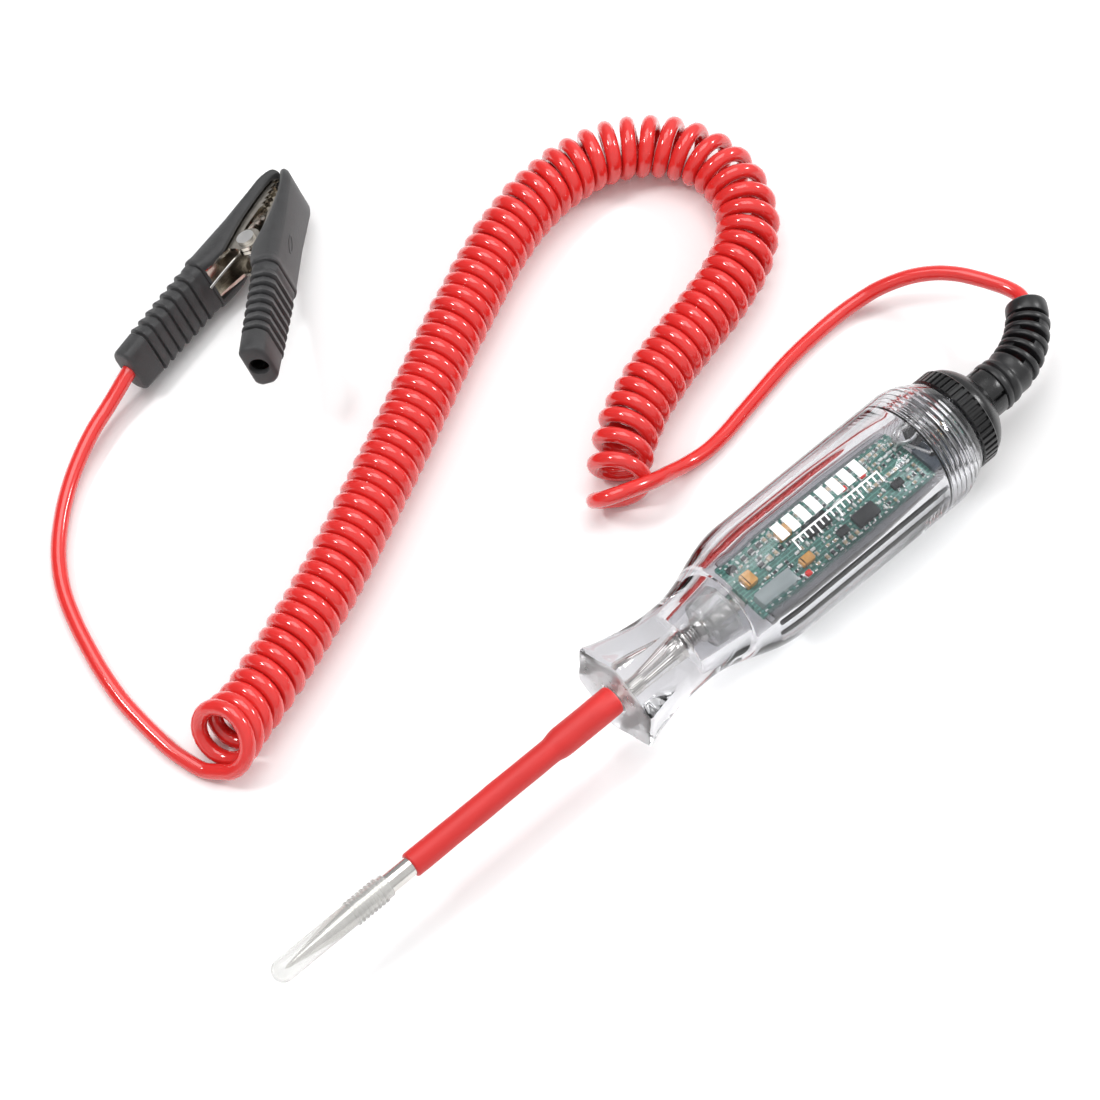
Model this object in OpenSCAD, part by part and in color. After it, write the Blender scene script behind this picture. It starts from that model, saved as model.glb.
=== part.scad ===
// Circuit test light: clear handle with a circuit board, steel probe, screw cap,
// bend relief, curly cord and a booted crocodile clip.
// The tool's long axis lies along X with its tip towards -X, and the surface is z = 0.

/* [Handle] */
// Outside diameter of the clear barrel, which rests on the surface
barrel_d = 28; // [27:0.5:30]
// Diameter of the barrel's inner bore
cavity_d = 18.6; // [18:0.2:19]
// Diameter of the waist between the flare and the barrel
waist_d = 18.4; // [17.5:0.1:19.5]
// Distance across the corners of the six-sided flare
flare_d = 24.8; // [24:0.1:26]
// Distance across the flats of the six-sided flare
flare_flats = 21.4; // [20.5:0.1:22]

/* [Probe] */
// Diameter of the steel probe
rod_d = 4.2; // [4:0.1:4.4]
// Outside diameter of the shrink sleeve over the probe
sleeve_d = 5.4; // [5:0.1:5.8]
// Outside diameter of the sleeve where it is doubled near the handle
cuff_d = 6.4; // [6:0.1:6.8]
// Length of the protective cap that slides over the probe
cap_length = 29; // [27:0.5:31]

/* [Circuit board] */
// Length of the circuit board
board_l = 49; // [46:1:50]
// Width of the circuit board
board_w = 15.2; // [14:0.2:15.6]
// Thickness of the circuit board
board_t = 1.6; // [1.2:0.2:1.6]

/* [Screw cap] */
// Outside diameter of the knurled band
knurl_d = 22.6; // [22:0.2:23.4]
// Number of ribs round the knurled band
knurl_ribs = 44; // [36:2:48]
// Outside diameter of the neck that holds the bend relief
neck_d = 10.8; // [10.4:0.2:11.2]

/* [Cord] */
// Outside diameter of the cord
cord_d = 3.4; // [3.2:0.1:3.5]
// Outside diameter of the curly part
coil_d = 14; // [13.4:0.2:14.4]

/* [Clip] */
// Length of each rubber boot
boot_l = 56; // [54:1:58]
// Angle between the two boots with the jaws shut
boot_spread = 33; // [31:1:35]
// Width of a boot at its rear end
boot_w_rear = 10.6; // [10:0.2:11]
// Width of a boot at the step behind the smooth front
boot_w_step = 13; // [12.6:0.2:13.4]
// Width of a boot at the tip
boot_w_tip = 12; // [11.6:0.2:12.4]
// Diameter of the socket in the rear end of the lever boot
socket_d = 4.2; // [3.6:0.1:4.4]

/* [Hidden] */
$fn = 72;

axis_z = barrel_d / 2;
rod_r = rod_d / 2;
rod_end_x = 8.5;
eps = 0.01;

// Places along the tool, from the tip of its cap to the end of the cap's neck
tip_x = -98.5;
point_x = -95.5;
taper_x = -78.5;
cap_open_x = tip_x + cap_length;
sleeve_x = -63.5;
cuff_x = -26;
front_x = -9.3;
waist_x = 9.5;
cone_x = 8.5;
cavity_x = 21.5;
barrel_x = 31;
shoulder_x = 76.5;
rear_x = 85;
neck_x = 94.6;
relief_x = -tip_x;
cord_start_x = 80.5;
cord_clearance = 0.35;
cap_gap = 0.1;

// Inner bore of the handle
cone_front_r = 5;
cone_rear_r = 6.9;
bore_front_r = 8.4;
bore_full_x = 27;
cavity_r = cavity_d / 2;
thread_x = 74;
thread_pitch = 1.2;
thread_count = 9;
thread_crest_r = 9;
thread_root_r = 9.6;

// Circuit board
board_x = 26;
board_y = 0.5;
board_z = axis_z - board_t / 2;
board_top = axis_z + board_t / 2;

// Bend relief: a straight foot and an arc that turns towards +Y
relief_foot = 2.2;
relief_bend_r = 21.8;
relief_turn = 57;
relief_base_turn = 12;
relief_ring_turn = 45;
relief_foot_d = 11.2;
relief_base_d = 10.8;
relief_rib_d = 10.4;
relief_core_d = 7.6;
relief_ring_d = 9.2;
relief_bore_d = 4.6;
relief_slots = 5;
relief_x0 = relief_x + relief_foot;
relief_end = [
  relief_x0 + relief_bend_r * sin(relief_turn),
  relief_bend_r * (1 - cos(relief_turn)),
  axis_z
];

// Clip frame: X along the fixed boot towards its tip, Z along the hinge pin
clip_place = [8.3, 132.2, 10.2];
clip_roll = -27.5;
clip_heading = 13.5;
half_spread = boot_spread / 2;
tip_reach = 20;
tip_depth = 3.6;
handle_depth = 5.8;
smooth_l = 29.7;
jaw_t = 0.8;
mouth_gap = 0.15;
cord_grip = 10;

// ---- Sweeping a round tube along a line of points ----

function unit(v) = v / norm(v);

function tangent(p, i) = unit(p[min(i + 1, len(p) - 1)] - p[max(i - 1, 0)]);

// One ring of a tube that never runs straight up
function ring_points(c, dir, r, sides) =
  let (side = unit(cross([0, 0, 1], dir)), up = cross(dir, side))
  [for (k = [0 : sides - 1]) c + r * (cos(360 * k / sides) * side + sin(360 * k / sides) * up)];

module tube(path, r, sides) {
  rings = len(path);
  points = [for (i = [0 : rings - 1]) each ring_points(path[i], tangent(path, i), r, sides)];
  walls = [
    for (i = [0 : rings - 2]) for (k = [0 : sides - 1])
      let (a = i * sides + k, b = i * sides + (k + 1) % sides)
      each [[a, a + sides, b + sides], [a, b + sides, b]]
  ];
  ends = [
    [for (k = [0 : sides - 1]) k],
    [for (k = [sides - 1 : -1 : 0]) (rings - 1) * sides + k]
  ];
  polyhedron(points, concat(walls, ends));
}

// ---- Turned shapes round the tool's axis ----

// Places its child's Z axis along the tool's axis, at a distance x along the tool
module on_axis(x = 0) {
  translate([x, 0, axis_z]) rotate([0, 90, 0]) children();
}

// Turns an outline of [radius, place along the tool] round the tool's axis
module turned(outline) {
  on_axis() rotate_extrude() polygon(outline);
}

module axis_rod(x0, x1, r) {
  on_axis(x0) cylinder(h = x1 - x0, r = r);
}

// ---- Probe ----

module tip_cap() {
  wall_r = 2.45;
  bore_r = rod_r + 0.06;
  rib_r = 2.75;
  rib_x = cap_open_x - 9.5;
  color([0.9, 0.93, 0.95, 0.5]) difference() {
    union() {
      on_axis(tip_x + wall_r) sphere(r = wall_r);
      axis_rod(tip_x + wall_r, cap_open_x, wall_r);
      for (i = [0 : 7]) axis_rod(rib_x + i * 1.2, rib_x + i * 1.2 + 0.8, rib_r);
    }
    axis_rod(point_x - 1.2, cap_open_x + 1, bore_r);
  }
}

module probe_rod() {
  color("silver") {
    turned([
      [0, point_x], [0.2, point_x], [rod_r, taper_x], [rod_r, rod_end_x - 0.5],
      [rod_r - 0.5, rod_end_x], [0, rod_end_x]
    ]);
  }
}

module shrink_sleeve() {
  color([0.85, 0.16, 0.17]) turned([
    [rod_r, sleeve_x], [sleeve_d / 2 - 0.2, sleeve_x], [sleeve_d / 2, sleeve_x + 0.3],
    [sleeve_d / 2, cuff_x], [cuff_d / 2, cuff_x + 2.5], [cuff_d / 2, front_x],
    [rod_r, front_x]
  ]);
}

// ---- Handle ----

// Outer radius of the clear handle at each place along it
function flare_r(x) =
  waist_d / 2 + (flare_d - waist_d) / 2 * pow((waist_x - x) / (waist_x - front_x), 2);
function swell_r(x) =
  waist_d / 2 + (barrel_d - waist_d) / 2
    * (1 - cos(180 * (x - waist_x) / (barrel_x - waist_x))) / 2;
function shoulder_r(x) =
  11 + (barrel_d / 2 - 11) * cos(90 * (x - shoulder_x) / (rear_x - shoulder_x));

handle_outline = [
  [0, front_x],
  [flare_d / 2 - 0.9, front_x],
  for (x = [front_x + 1 : 2 : waist_x - 1]) [flare_r(x), x],
  for (x = [waist_x : 2 : barrel_x]) [swell_r(x), x],
  [barrel_d / 2, barrel_x],
  for (x = [shoulder_x : 1.7 : rear_x]) [shoulder_r(x), x],
  [0, rear_x]
];

thread_grooves = [
  for (i = [0 : thread_count - 1]) let (x = thread_x + 0.4 + i * thread_pitch)
    each [
      [thread_crest_r, x], [thread_root_r, x + 0.4], [thread_root_r, x + 0.6],
      [thread_crest_r, x + 1]
    ]
];

bore_outline = concat(
  [
    [0, cone_x], [cone_front_r, cone_x], [cone_rear_r, cavity_x], [bore_front_r, cavity_x],
    [cavity_r, bore_full_x], [cavity_r, thread_x - 1], [thread_crest_r, thread_x]
  ],
  thread_grooves,
  [[thread_crest_r, rear_x + 1], [0, rear_x + 1]]
);

// A rail along the bore, beside the edge of the board
module rail(y, z) {
  rail_l = 46;
  reach = sqrt(cavity_r * cavity_r - z * z) + 0.4 - abs(y);
  translate([board_x + 1, y > 0 ? y : y - reach, axis_z + z - 0.5]) cube([rail_l, reach, 1]);
}

module handle_shell() {
  color([0.93, 0.95, 0.97, 0.35]) {
    difference() {
      turned(handle_outline);
      turned(bore_outline);
      axis_rod(front_x - 1, cone_x + 1, rod_r);
      for (a = [0 : 60 : 300]) {
        on_axis(front_x - 1) rotate([0, 0, a]) translate([-12, flare_flats / 2, 0])
          cube([24, 6, 20]);
      }
    }
    for (z = [-1.5, 1.5]) {
      rail(7.4, z);
      rail(-6.6, z);
    }
  }
}

// ---- Inside the handle ----

module contact_spring() {
  spring_r = 1.8;
  coils = 5;
  color("gainsboro") {
    for (i = [0 : coils - 1]) {
      on_axis(rod_end_x + 0.4 + i * 0.9) rotate_extrude() translate([spring_r, 0]) circle(r = 0.35, $fn = 16);
    }
  }
}

module contact_cup() {
  cup_x = 12.4;
  cup_end_x = 15.5;
  color([0.8, 0.78, 0.7]) {
    difference() {
      axis_rod(cup_x, cup_end_x, 2.7);
      axis_rod(cup_x - 1, cup_x + 0.8, 2.2);
    }
    translate([cup_end_x - eps, -2.2, axis_z - 1.2]) cube([board_x - cup_end_x + eps, 4.4, 0.8]);
  }
}

module circuit_board() {
  color([0.16, 0.42, 0.36]) difference() {
    translate([board_x, board_y - board_w / 2, board_z]) cube([board_l, board_w, board_t]);
    for (y = [-4.6, 4.2]) {
      translate([board_x + board_l - 2.2, y, board_z - 1]) cylinder(h = board_t + 2, r = 0.5, $fn = 24);
    }
  }
}

// A block on the board's upper face, centred at x and y
module on_board(x, y, size) {
  translate([x - size[0] / 2, y - size[1] / 2, board_top]) cube(size);
}

module board_chips() {
  color([0.13, 0.14, 0.15]) {
    on_board(28.6, 5.2, [2.4, 2.2, 1]);
    on_board(50.4, -3.8, [2.8, 2.4, 1.1]);
    on_board(56.6, -4.2, [6, 3.8, 1.4]);
    on_board(47.4, 0.8, [6.4, 3.8, 1.4]);
    on_board(67, -3.4, [2.8, 2.4, 1.1]);
  }
}

module board_capacitors() {
  color([0.85, 0.6, 0.28]) {
    on_board(29.4, 0.9, [3.2, 3.2, 1.8]);
    on_board(40.8, 4, [3.6, 2.6, 1.8]);
    on_board(40.2, -3.6, [3.6, 1.9, 1.5]);
  }
}

module board_passives() {
  color([0.75, 0.72, 0.66]) {
    for (i = [0 : 4]) on_board(32.6 + i * 1.5, 5.6, [0.8, 1.6, 0.5]);
    for (i = [0 : 6]) on_board(44.4 + i * 1.8, 5.4, [0.9, 1.6, 0.5]);
    for (i = [0 : 5]) on_board(44 + i * 1.7, -5.8, [0.8, 1.4, 0.5]);
    for (i = [0 : 5]) on_board(61.6 + i * 1.9, -0.6, [1.6, 0.8, 0.5]);
    for (i = [0 : 4]) on_board(61.8 + i * 2, 5.8, [1.6, 0.8, 0.5]);
    for (i = [0 : 3]) on_board(33.6 + i * 1.6, 1.8, [0.8, 1.6, 0.5]);
  }
}

module indicator_leds() {
  color([0.85, 0.1, 0.08]) {
    on_board(57.6, 3.2, [2, 1.25, 0.9]);
    on_board(62.9, 2.8, [2, 1.25, 0.9]);
    on_board(38.4, -5.9, [2, 1.25, 0.9]);
  }
}

module light_guide() {
  color([0.8, 0.92, 0.95, 0.6]) on_board(31.2, -4.4, [10, 3.6, 2.6]);
}

module lead_wire() {
  wire_r = 0.45;
  ring_r = 2.6;
  color("gainsboro") {
    translate([76.2, 3.4, axis_z + 3]) rotate([18, -12, 0])
      rotate_extrude() translate([ring_r, 0]) circle(r = wire_r, $fn = 16);
    translate([74.1, 3.2, board_top]) cylinder(h = 2.2, r = wire_r, $fn = 16);
  }
}

// The block behind the board that the cord's lead is made off to
module cord_anchor() {
  anchor = [3.8, 6.6, 3];
  color([0.3, 0.33, 0.38]) difference() {
    translate([board_x + board_l, -6.4, axis_z - 1]) cube(anchor);
    translate([board_x + board_l + 2.2, -3.4, axis_z - 2]) cylinder(h = 6, r = 0.6, $fn = 24);
  }
}

// ---- Screw cap ----

cap_x = rear_x + cap_gap;
plug_x = 80;
plug_r = 6.2;
ridge_r = 8.9;
ridge_root_r = 8.5;
dome_x = 89.2;

// The bend relief's spigot turns in the cap's neck
spigot_x = 95;
spigot_r = 4.5;
spigot_fit = 0.05;

cap_outline = [
  [0, plug_x], [plug_r, plug_x], [plug_r, plug_x + 1],
  for (i = [0 : 2]) let (x = plug_x + 1 + i * thread_pitch)
    each [[ridge_r, x], [ridge_r, x + 0.6], [ridge_root_r, x + 0.8], [ridge_root_r, x + 1]],
  [ridge_root_r, cap_x],
  [knurl_d / 2 - 0.3, cap_x], [knurl_d / 2, cap_x + 0.3], [knurl_d / 2, dome_x - 0.3],
  for (t = [0 : 0.125 : 1])
    [
      neck_d / 2 + (knurl_d / 2 - 0.5 - neck_d / 2) * pow(cos(90 * t), 0.85),
      dome_x + (neck_x - dome_x) * t
    ],
  [neck_d / 2, relief_x], [0, relief_x]
];

module screw_cap() {
  rib_angle = 360 / knurl_ribs;
  color([0.09, 0.09, 0.1]) difference() {
    turned(cap_outline);
    axis_rod(plug_x - 1, relief_x + 1, cord_d / 2 + cord_clearance);
    axis_rod(spigot_x, relief_x + 1, spigot_r + spigot_fit);
    for (i = [0 : knurl_ribs - 1]) {
      on_axis(cap_x + 0.5) rotate([0, 0, i * rib_angle]) translate([knurl_d / 2 - 0.5, -0.28, 0])
        cube([1, 0.56, dome_x - cap_x - 1.4]);
    }
    for (a = [45 : 90 : 315]) {
      on_axis(neck_x + 0.4) rotate([0, 0, a]) translate([neck_d / 2 - 0.7, -0.4, 0]) cube([2, 0.8, 2.7]);
    }
  }
}

// ---- Bend relief ----

// Turns its child's outline along the relief's arc, from one turn angle to another
module along_arc(from, to) {
  translate([relief_x0, relief_bend_r, axis_z]) rotate([0, 0, from - 90])
    rotate_extrude(angle = to - from) translate([relief_bend_r, 0]) children();
}

module bend_relief() {
  slot_turn = (relief_ring_turn - relief_base_turn) / relief_slots;
  join = 0.05;
  color([0.1, 0.1, 0.11]) {
    difference() {
      union() {
        axis_rod(spigot_x + 0.1, relief_x + join, spigot_r);
        axis_rod(relief_x, relief_x0 + join, relief_foot_d / 2);
        along_arc(0, relief_base_turn) circle(d = relief_base_d);
        along_arc(0, relief_turn) circle(d = relief_core_d);
        for (i = [0 : relief_slots - 1]) {
          along_arc(relief_base_turn + (i + 0.4) * slot_turn, relief_base_turn + (i + 1) * slot_turn)
            circle(d = relief_rib_d);
        }
        along_arc(relief_ring_turn, relief_turn) circle(d = relief_ring_d);
      }
      axis_rod(spigot_x - 1, relief_x0 + 2 * join, relief_bore_d / 2 + join);
      along_arc(0, relief_turn + 1) circle(d = relief_bore_d);
    }
  }
}

// ---- Cord ----

module cord_entry() {
  color([0.86, 0.14, 0.12]) {
    axis_rod(cord_start_x, relief_x0 + eps, cord_d / 2);
    along_arc(0, relief_turn) circle(d = cord_d);
  }
}

// Route of the straight cord from the bend relief to the coil
handle_run = [
  relief_end, [120, 12.6, 13.5], [119.7, 15.8, 12.9], [118.6, 19, 12.4], [117.2, 22.2, 12],
  [115.2, 26, 11.4], [112.4, 30, 10.2], [108.4, 33.8, 8.4], [103.4, 37, 5.8], [98.6, 38.6, 3.8],
  [92.8, 39.5, 2.3], [86, 39.4, 1.8], [79, 38.8, 1.7], [73, 37.9, 1.7], [67, 36.8, 1.7],
  [61, 35.7, 1.7], [55, 34.6, 1.8], [49.2, 34, 2.2], [43.2, 34.2, 3.2], [38.3, 34.3, 5],
  [33.9, 34.6, 7], [28.9, 34.9, 9.3], [24.6, 35.4, 11]
];

// Middle line of the curly part
coil_route = [
  [-72.5, 48.3, 7], [-63, 50.6, 7], [-54, 53.4, 7], [-46, 56.2, 7], [-38, 59.2, 7], [-30, 62.4, 7],
  [-22, 66, 7], [-14, 69.8, 7], [-6, 73.6, 7], [2, 77.4, 7], [10, 81.4, 7], [18, 85.4, 7],
  [26, 89.4, 7], [35, 93.4, 7], [43.5, 97.2, 7], [52.5, 100.6, 7], [62, 103, 7], [72, 103.8, 7],
  [81, 102.6, 7], [89, 99, 7], [95, 93, 7], [98.4, 85, 7], [98, 76, 7], [94, 68.4, 7],
  [87.5, 62.8, 7], [79.5, 59.4, 7], [71, 57, 7], [62, 55, 7], [53.5, 52.8, 7], [45.5, 50.2, 7],
  [38.8, 47, 7], [33.6, 43.6, 7], [29, 39.4, 7], [25.4, 35.4, 7]
];

// Route of the straight cord from the coil to the clip's fixed boot
clip_run = [
  [-75.2, 45.4, 2.3], [-76.9, 48.4, 1.7], [-78, 52, 1.7], [-78.8, 56, 1.7], [-79.1, 60.5, 1.7],
  [-79.2, 66, 1.7], [-79, 72, 1.7], [-78, 79, 1.7], [-76.4, 86, 1.7], [-74.4, 93, 1.7],
  [-71.6, 100, 1.8], [-67.6, 106.4, 2], [-62.5, 112, 2.3], [-56.5, 117, 2.8], [-50.2, 121, 3.5],
  [-43.6, 124.2, 4.3], [-37.4, 126.4, 5]
];

module cord_handle_run() {
  color([0.86, 0.14, 0.12]) tube(handle_run, cord_d / 2, 8);
}

module cord_coil() {
  color([0.84, 0.13, 0.11]) tube(coil_route, coil_d / 2, 12);
}

module cord_clip_run() {
  color([0.86, 0.14, 0.12]) tube(concat(clip_run, [boot_entry]), cord_d / 2, 8);
}

// ---- Clip ----

// The tips meet tip_reach ahead of the pin. Each boot's outer face starts tip_depth off
// the middle line there, and falls away from it towards the rear.

// Places its child in the clip's frame, with X along the line between the boots
module clip_frame() {
  translate(clip_place) rotate([clip_roll, 0, clip_heading]) rotate([0, 0, half_spread]) children();
}

// A point of the clip's frame, in the part's own frame
function clip_point(p) =
  let (
    a = half_spread,
    q = [p[0] * cos(a) - p[1] * sin(a), p[0] * sin(a) + p[1] * cos(a), p[2]],
    r = clip_roll,
    s = [q[0], q[1] * cos(r) - q[2] * sin(r), q[1] * sin(r) + q[2] * cos(r)],
    h = clip_heading
  )
  clip_place + [s[0] * cos(h) - s[1] * sin(h), s[0] * sin(h) + s[1] * cos(h), s[2]];

// Place on a boot, as [along from its rear end, depth in from its outer face].
// side is 1 for the fixed boot and -1 for the lever.
function boot_xy(s, depth, side) =
  let (a = half_spread, back = boot_l - s)
  [
    tip_reach - back * cos(a) - depth * sin(a),
    side * (tip_depth + back * sin(a) - depth * cos(a))
  ];

boot_entry = clip_point(concat(boot_xy(0, handle_depth / 2, 1), [0]));

// Outline of a boot seen along the pin, and of the metal inside it
function boot_outline(side) = [
  boot_xy(0, 0, side),
  boot_xy(boot_l - 4, 0, side),
  boot_xy(boot_l, 1.6, side),
  [tip_reach, side * mouth_gap],
  [tip_reach - 5, side * 0.9],
  [tip_reach - 14, side * 2.6],
  boot_xy(boot_l - 23, handle_depth + 1.4, side),
  boot_xy(boot_l - smooth_l, handle_depth, side),
  boot_xy(0, handle_depth, side)
];

module boot_body(side) {
  rib_pitch = 2.6;
  difference() {
    linear_extrude(height = boot_w_step, center = true) polygon(boot_outline(side));
    boot_taper(side, 1);
    boot_taper(side, -1);
    for (i = [0 : 6]) {
      boot_groove(side, 6.3 + i * rib_pitch);
    }
  }
}

// Cuts one face of the boot down from its full width at the step to the rear and the tip
module boot_taper(side, face) {
  rear_cut = (boot_w_step - boot_w_rear) / 2;
  tip_cut = (boot_w_step - boot_w_tip) / 2;
  far = boot_w_step / 2;
  step = boot_l - smooth_l;
  low = boot_xy(-1, handle_depth / 2, side);
  mid = boot_xy(step, handle_depth / 2, side);
  translate([low[0], low[1], 0]) rotate([0, 0, -side * half_spread]) rotate([90, 0, 0])
    linear_extrude(height = 40, center = true)
      polygon([
        [-1, face * (far - rear_cut)], [step + 1, face * (far - 0.35)],
        [step + 1, face * (far + 3)], [-1, face * (far + 3)]
      ]);
  translate([mid[0], mid[1], 0]) rotate([0, 0, -side * half_spread]) rotate([90, 0, 0])
    linear_extrude(height = 40, center = true)
      polygon([
        [0, face * far], [smooth_l + 2, face * (far - tip_cut)],
        [smooth_l + 2, face * (far + 3)], [0, face * (far + 3)]
      ]);
}

// A shallow groove round the ribbed handle, cut into its outer face and both edges
module boot_groove(side, s) {
  depth = 0.45;
  p = boot_xy(s, 0, side);
  translate([p[0], p[1], 0]) rotate([0, 0, -side * half_spread]) {
    translate([0, side * (3 - depth) - 3, -10]) cube([0.7, 6, 20]);
    for (f = [-1, 1]) {
      w = boot_w_rear / 2 + (boot_w_step - boot_w_rear) / 2 * s / (boot_l - smooth_l);
      translate([0, -10, f * (w - depth + 3) - 3]) cube([0.7, 20, 6]);
    }
  }
}

// Steel jaws: the fixed one is wider, and the lever's ears turn between its ears
fixed_half = 4.2;
lever_half = 3.2;
ear_r = 3.2;
pin_r = 1.2;
jaw_inset = 1.4;
jaw_tail = 12;

// The hollow in a boot that holds the jaw, the spring and the pin
function hollow_outline(side) = [
  boot_xy(10, jaw_inset - 0.05, side),
  boot_xy(boot_l - 5, jaw_inset - 0.05, side),
  boot_xy(boot_l - 1.2, jaw_inset + 0.7, side),
  [tip_reach - 1.2, -side],
  [-7, -side],
  boot_xy(boot_l - smooth_l, handle_depth + 2, side),
  boot_xy(boot_l - smooth_l, handle_depth - 1, side),
  boot_xy(10, handle_depth - 1, side)
];

// The round hole along a boot from its rear end
module boot_hole(side, d) {
  p = boot_xy(-1, handle_depth / 2, side);
  translate([p[0], p[1], 0]) rotate([0, 0, -side * half_spread]) rotate([0, 90, 0])
    cylinder(h = 12, d = d, $fn = 48);
}

module boot(side, hollow_half, hole_d) {
  difference() {
    boot_body(side);
    linear_extrude(height = 2 * hollow_half, center = true) polygon(hollow_outline(side));
    boot_hole(side, hole_d);
  }
}

module fixed_boot() {
  color([0.15, 0.15, 0.16]) clip_frame() boot(1, fixed_half + 0.05, cord_d);
}

module lever_boot() {
  color([0.15, 0.15, 0.16]) clip_frame() boot(-1, fixed_half + 0.3, socket_d);
}

// Teeth along the mouth, as points from the tip back to the ear
teeth = 6;
tooth_pitch = 1.6;
function tooth_points(side) = [
  for (i = [0 : teeth - 1]) each [
    [tip_reach - 1.4 - i * tooth_pitch, side * 0.08],
    [tip_reach - 1.4 - (i + 0.85) * tooth_pitch, side * 0.95]
  ]
];

// One side wall of a jaw, seen along the pin
module jaw_wall(side) {
  polygon(concat(
    [
      boot_xy(jaw_tail, jaw_inset, side), boot_xy(boot_l - 5, jaw_inset, side),
      boot_xy(boot_l - 1.6, jaw_inset + 0.9, side)
    ],
    tooth_points(side),
    [
      [4, side * 1.8], [0, side * 1.8], [-4, side * 4],
      boot_xy(boot_l - smooth_l - 2, handle_depth - 1.2, side),
      boot_xy(jaw_tail, handle_depth - 1.2, side)
    ]
  ));
}

// The outer plate that joins the two side walls
module jaw_back(side) {
  polygon([
    boot_xy(jaw_tail, jaw_inset, side), boot_xy(boot_l - 5, jaw_inset, side),
    boot_xy(boot_l - 1.6, jaw_inset + 0.9, side), boot_xy(boot_l - 1.6, jaw_inset + 0.9 + jaw_t, side),
    boot_xy(boot_l - 5, jaw_inset + jaw_t, side), boot_xy(jaw_tail, jaw_inset + jaw_t, side)
  ]);
}

module jaw(side, half, bore_r) {
  difference() {
    union() {
      linear_extrude(height = 2 * half, center = true) jaw_back(side);
      for (f = [-1, 1]) {
        translate([0, 0, f * (half - jaw_t / 2)]) linear_extrude(height = jaw_t, center = true) {
          union() {
            jaw_wall(side);
            circle(r = ear_r);
            polygon([[-2.8, 0], [2.8, 0], [2.8, side * 5], [-2.8, side * 5]]);
          }
        }
      }
    }
    cylinder(h = 20, r = bore_r, center = true, $fn = 48);
  }
}

module fixed_jaw() {
  color("silver") clip_frame() jaw(1, fixed_half, pin_r);
}

module lever_jaw() {
  color("silver") clip_frame() jaw(-1, lever_half, pin_r + 0.06);
}

module pivot_rivet() {
  color("gainsboro") clip_frame() {
    cylinder(h = 2 * fixed_half, r = pin_r, center = true, $fn = 48);
    for (f = [-1, 1]) {
      translate([0, 0, f * (fixed_half + 0.35)]) cylinder(h = 0.7, r = 2, center = true, $fn = 48);
    }
  }
}

// Torsion spring round the pin, with a leg along each handle
module clip_spring() {
  wire_r = 0.4;
  leg_l = 14;
  color("gainsboro") clip_frame() {
    for (i = [-2 : 1 : 2]) {
      translate([0, 0, i * 0.85]) rotate_extrude() translate([1.75, 0]) circle(r = wire_r, $fn = 16);
    }
    for (side = [-1, 1]) {
      translate([-0.6, side * 1.75, side * 1.7]) rotate([0, 0, -side * half_spread]) rotate([0, -90, 0])
        cylinder(h = leg_l, r = wire_r, $fn = 16);
    }
  }
}

// A rod along the middle of the fixed boot's handle, from one distance to another
module fixed_rod(from, to, r) {
  p = boot_xy(from, handle_depth / 2, 1);
  translate([p[0], p[1], 0]) rotate([0, 0, -half_spread]) rotate([0, 90, 0])
    cylinder(h = to - from, r = r, $fn = 48);
}

// The cord inside the fixed boot's hole
module cord_clip_entry() {
  color([0.86, 0.14, 0.12]) clip_frame() fixed_rod(0, cord_grip, cord_d / 2);
}

// The lead's bared end, folded into the tail of the fixed jaw
module lead_crimp() {
  color([0.8, 0.55, 0.35]) clip_frame() fixed_rod(cord_grip, cord_grip + 7, 0.6);
}

tip_cap();
probe_rod();
shrink_sleeve();
handle_shell();
contact_spring();
contact_cup();
circuit_board();
board_chips();
board_capacitors();
board_passives();
indicator_leds();
light_guide();
lead_wire();
cord_anchor();
screw_cap();
bend_relief();
cord_entry();
cord_handle_run();
cord_coil();
cord_clip_run();
cord_clip_entry();
lead_crimp();
fixed_boot();
fixed_jaw();
lever_boot();
lever_jaw();
pivot_rivet();
clip_spring();
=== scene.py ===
"""Looks for the circuit test light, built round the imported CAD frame.

Every length below is in millimetres unless it says otherwise; MM turns them into metres.
The tool's axis runs along X at height AXIS_Z, with its tip towards -X.
"""

import random
from math import cos, floor, pi, radians, sin, sqrt

import bmesh
import bpy
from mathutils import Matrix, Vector, noise


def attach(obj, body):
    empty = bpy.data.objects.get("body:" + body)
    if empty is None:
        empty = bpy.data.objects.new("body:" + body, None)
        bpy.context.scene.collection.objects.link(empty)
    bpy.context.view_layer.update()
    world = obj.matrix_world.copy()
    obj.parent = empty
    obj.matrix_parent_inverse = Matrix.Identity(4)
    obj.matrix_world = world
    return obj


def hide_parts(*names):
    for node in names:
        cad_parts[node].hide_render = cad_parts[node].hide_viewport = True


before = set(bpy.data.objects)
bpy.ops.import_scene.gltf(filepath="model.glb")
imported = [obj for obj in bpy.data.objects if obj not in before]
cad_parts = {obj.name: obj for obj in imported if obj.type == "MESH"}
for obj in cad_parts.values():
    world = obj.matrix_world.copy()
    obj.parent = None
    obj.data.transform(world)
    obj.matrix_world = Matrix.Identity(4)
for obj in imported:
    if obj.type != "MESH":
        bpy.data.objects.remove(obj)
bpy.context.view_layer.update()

MM = 0.001
AXIS_Z = 14.0


# ---------------------------------------------------------------- shape tools


def placed(name, data):
    """A new object in the scene, at the origin."""
    obj = bpy.data.objects.new(name, data)
    bpy.context.scene.collection.objects.link(obj)
    return obj


def smooth(t):
    t = min(1.0, max(0.0, t))
    return t * t * (3 - 2 * t)


def mix(a, b, t):
    return a + (b - a) * t


def circle(n):
    """The angles of n points round a circle."""
    return [2 * pi * k / n for k in range(n)]


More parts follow.
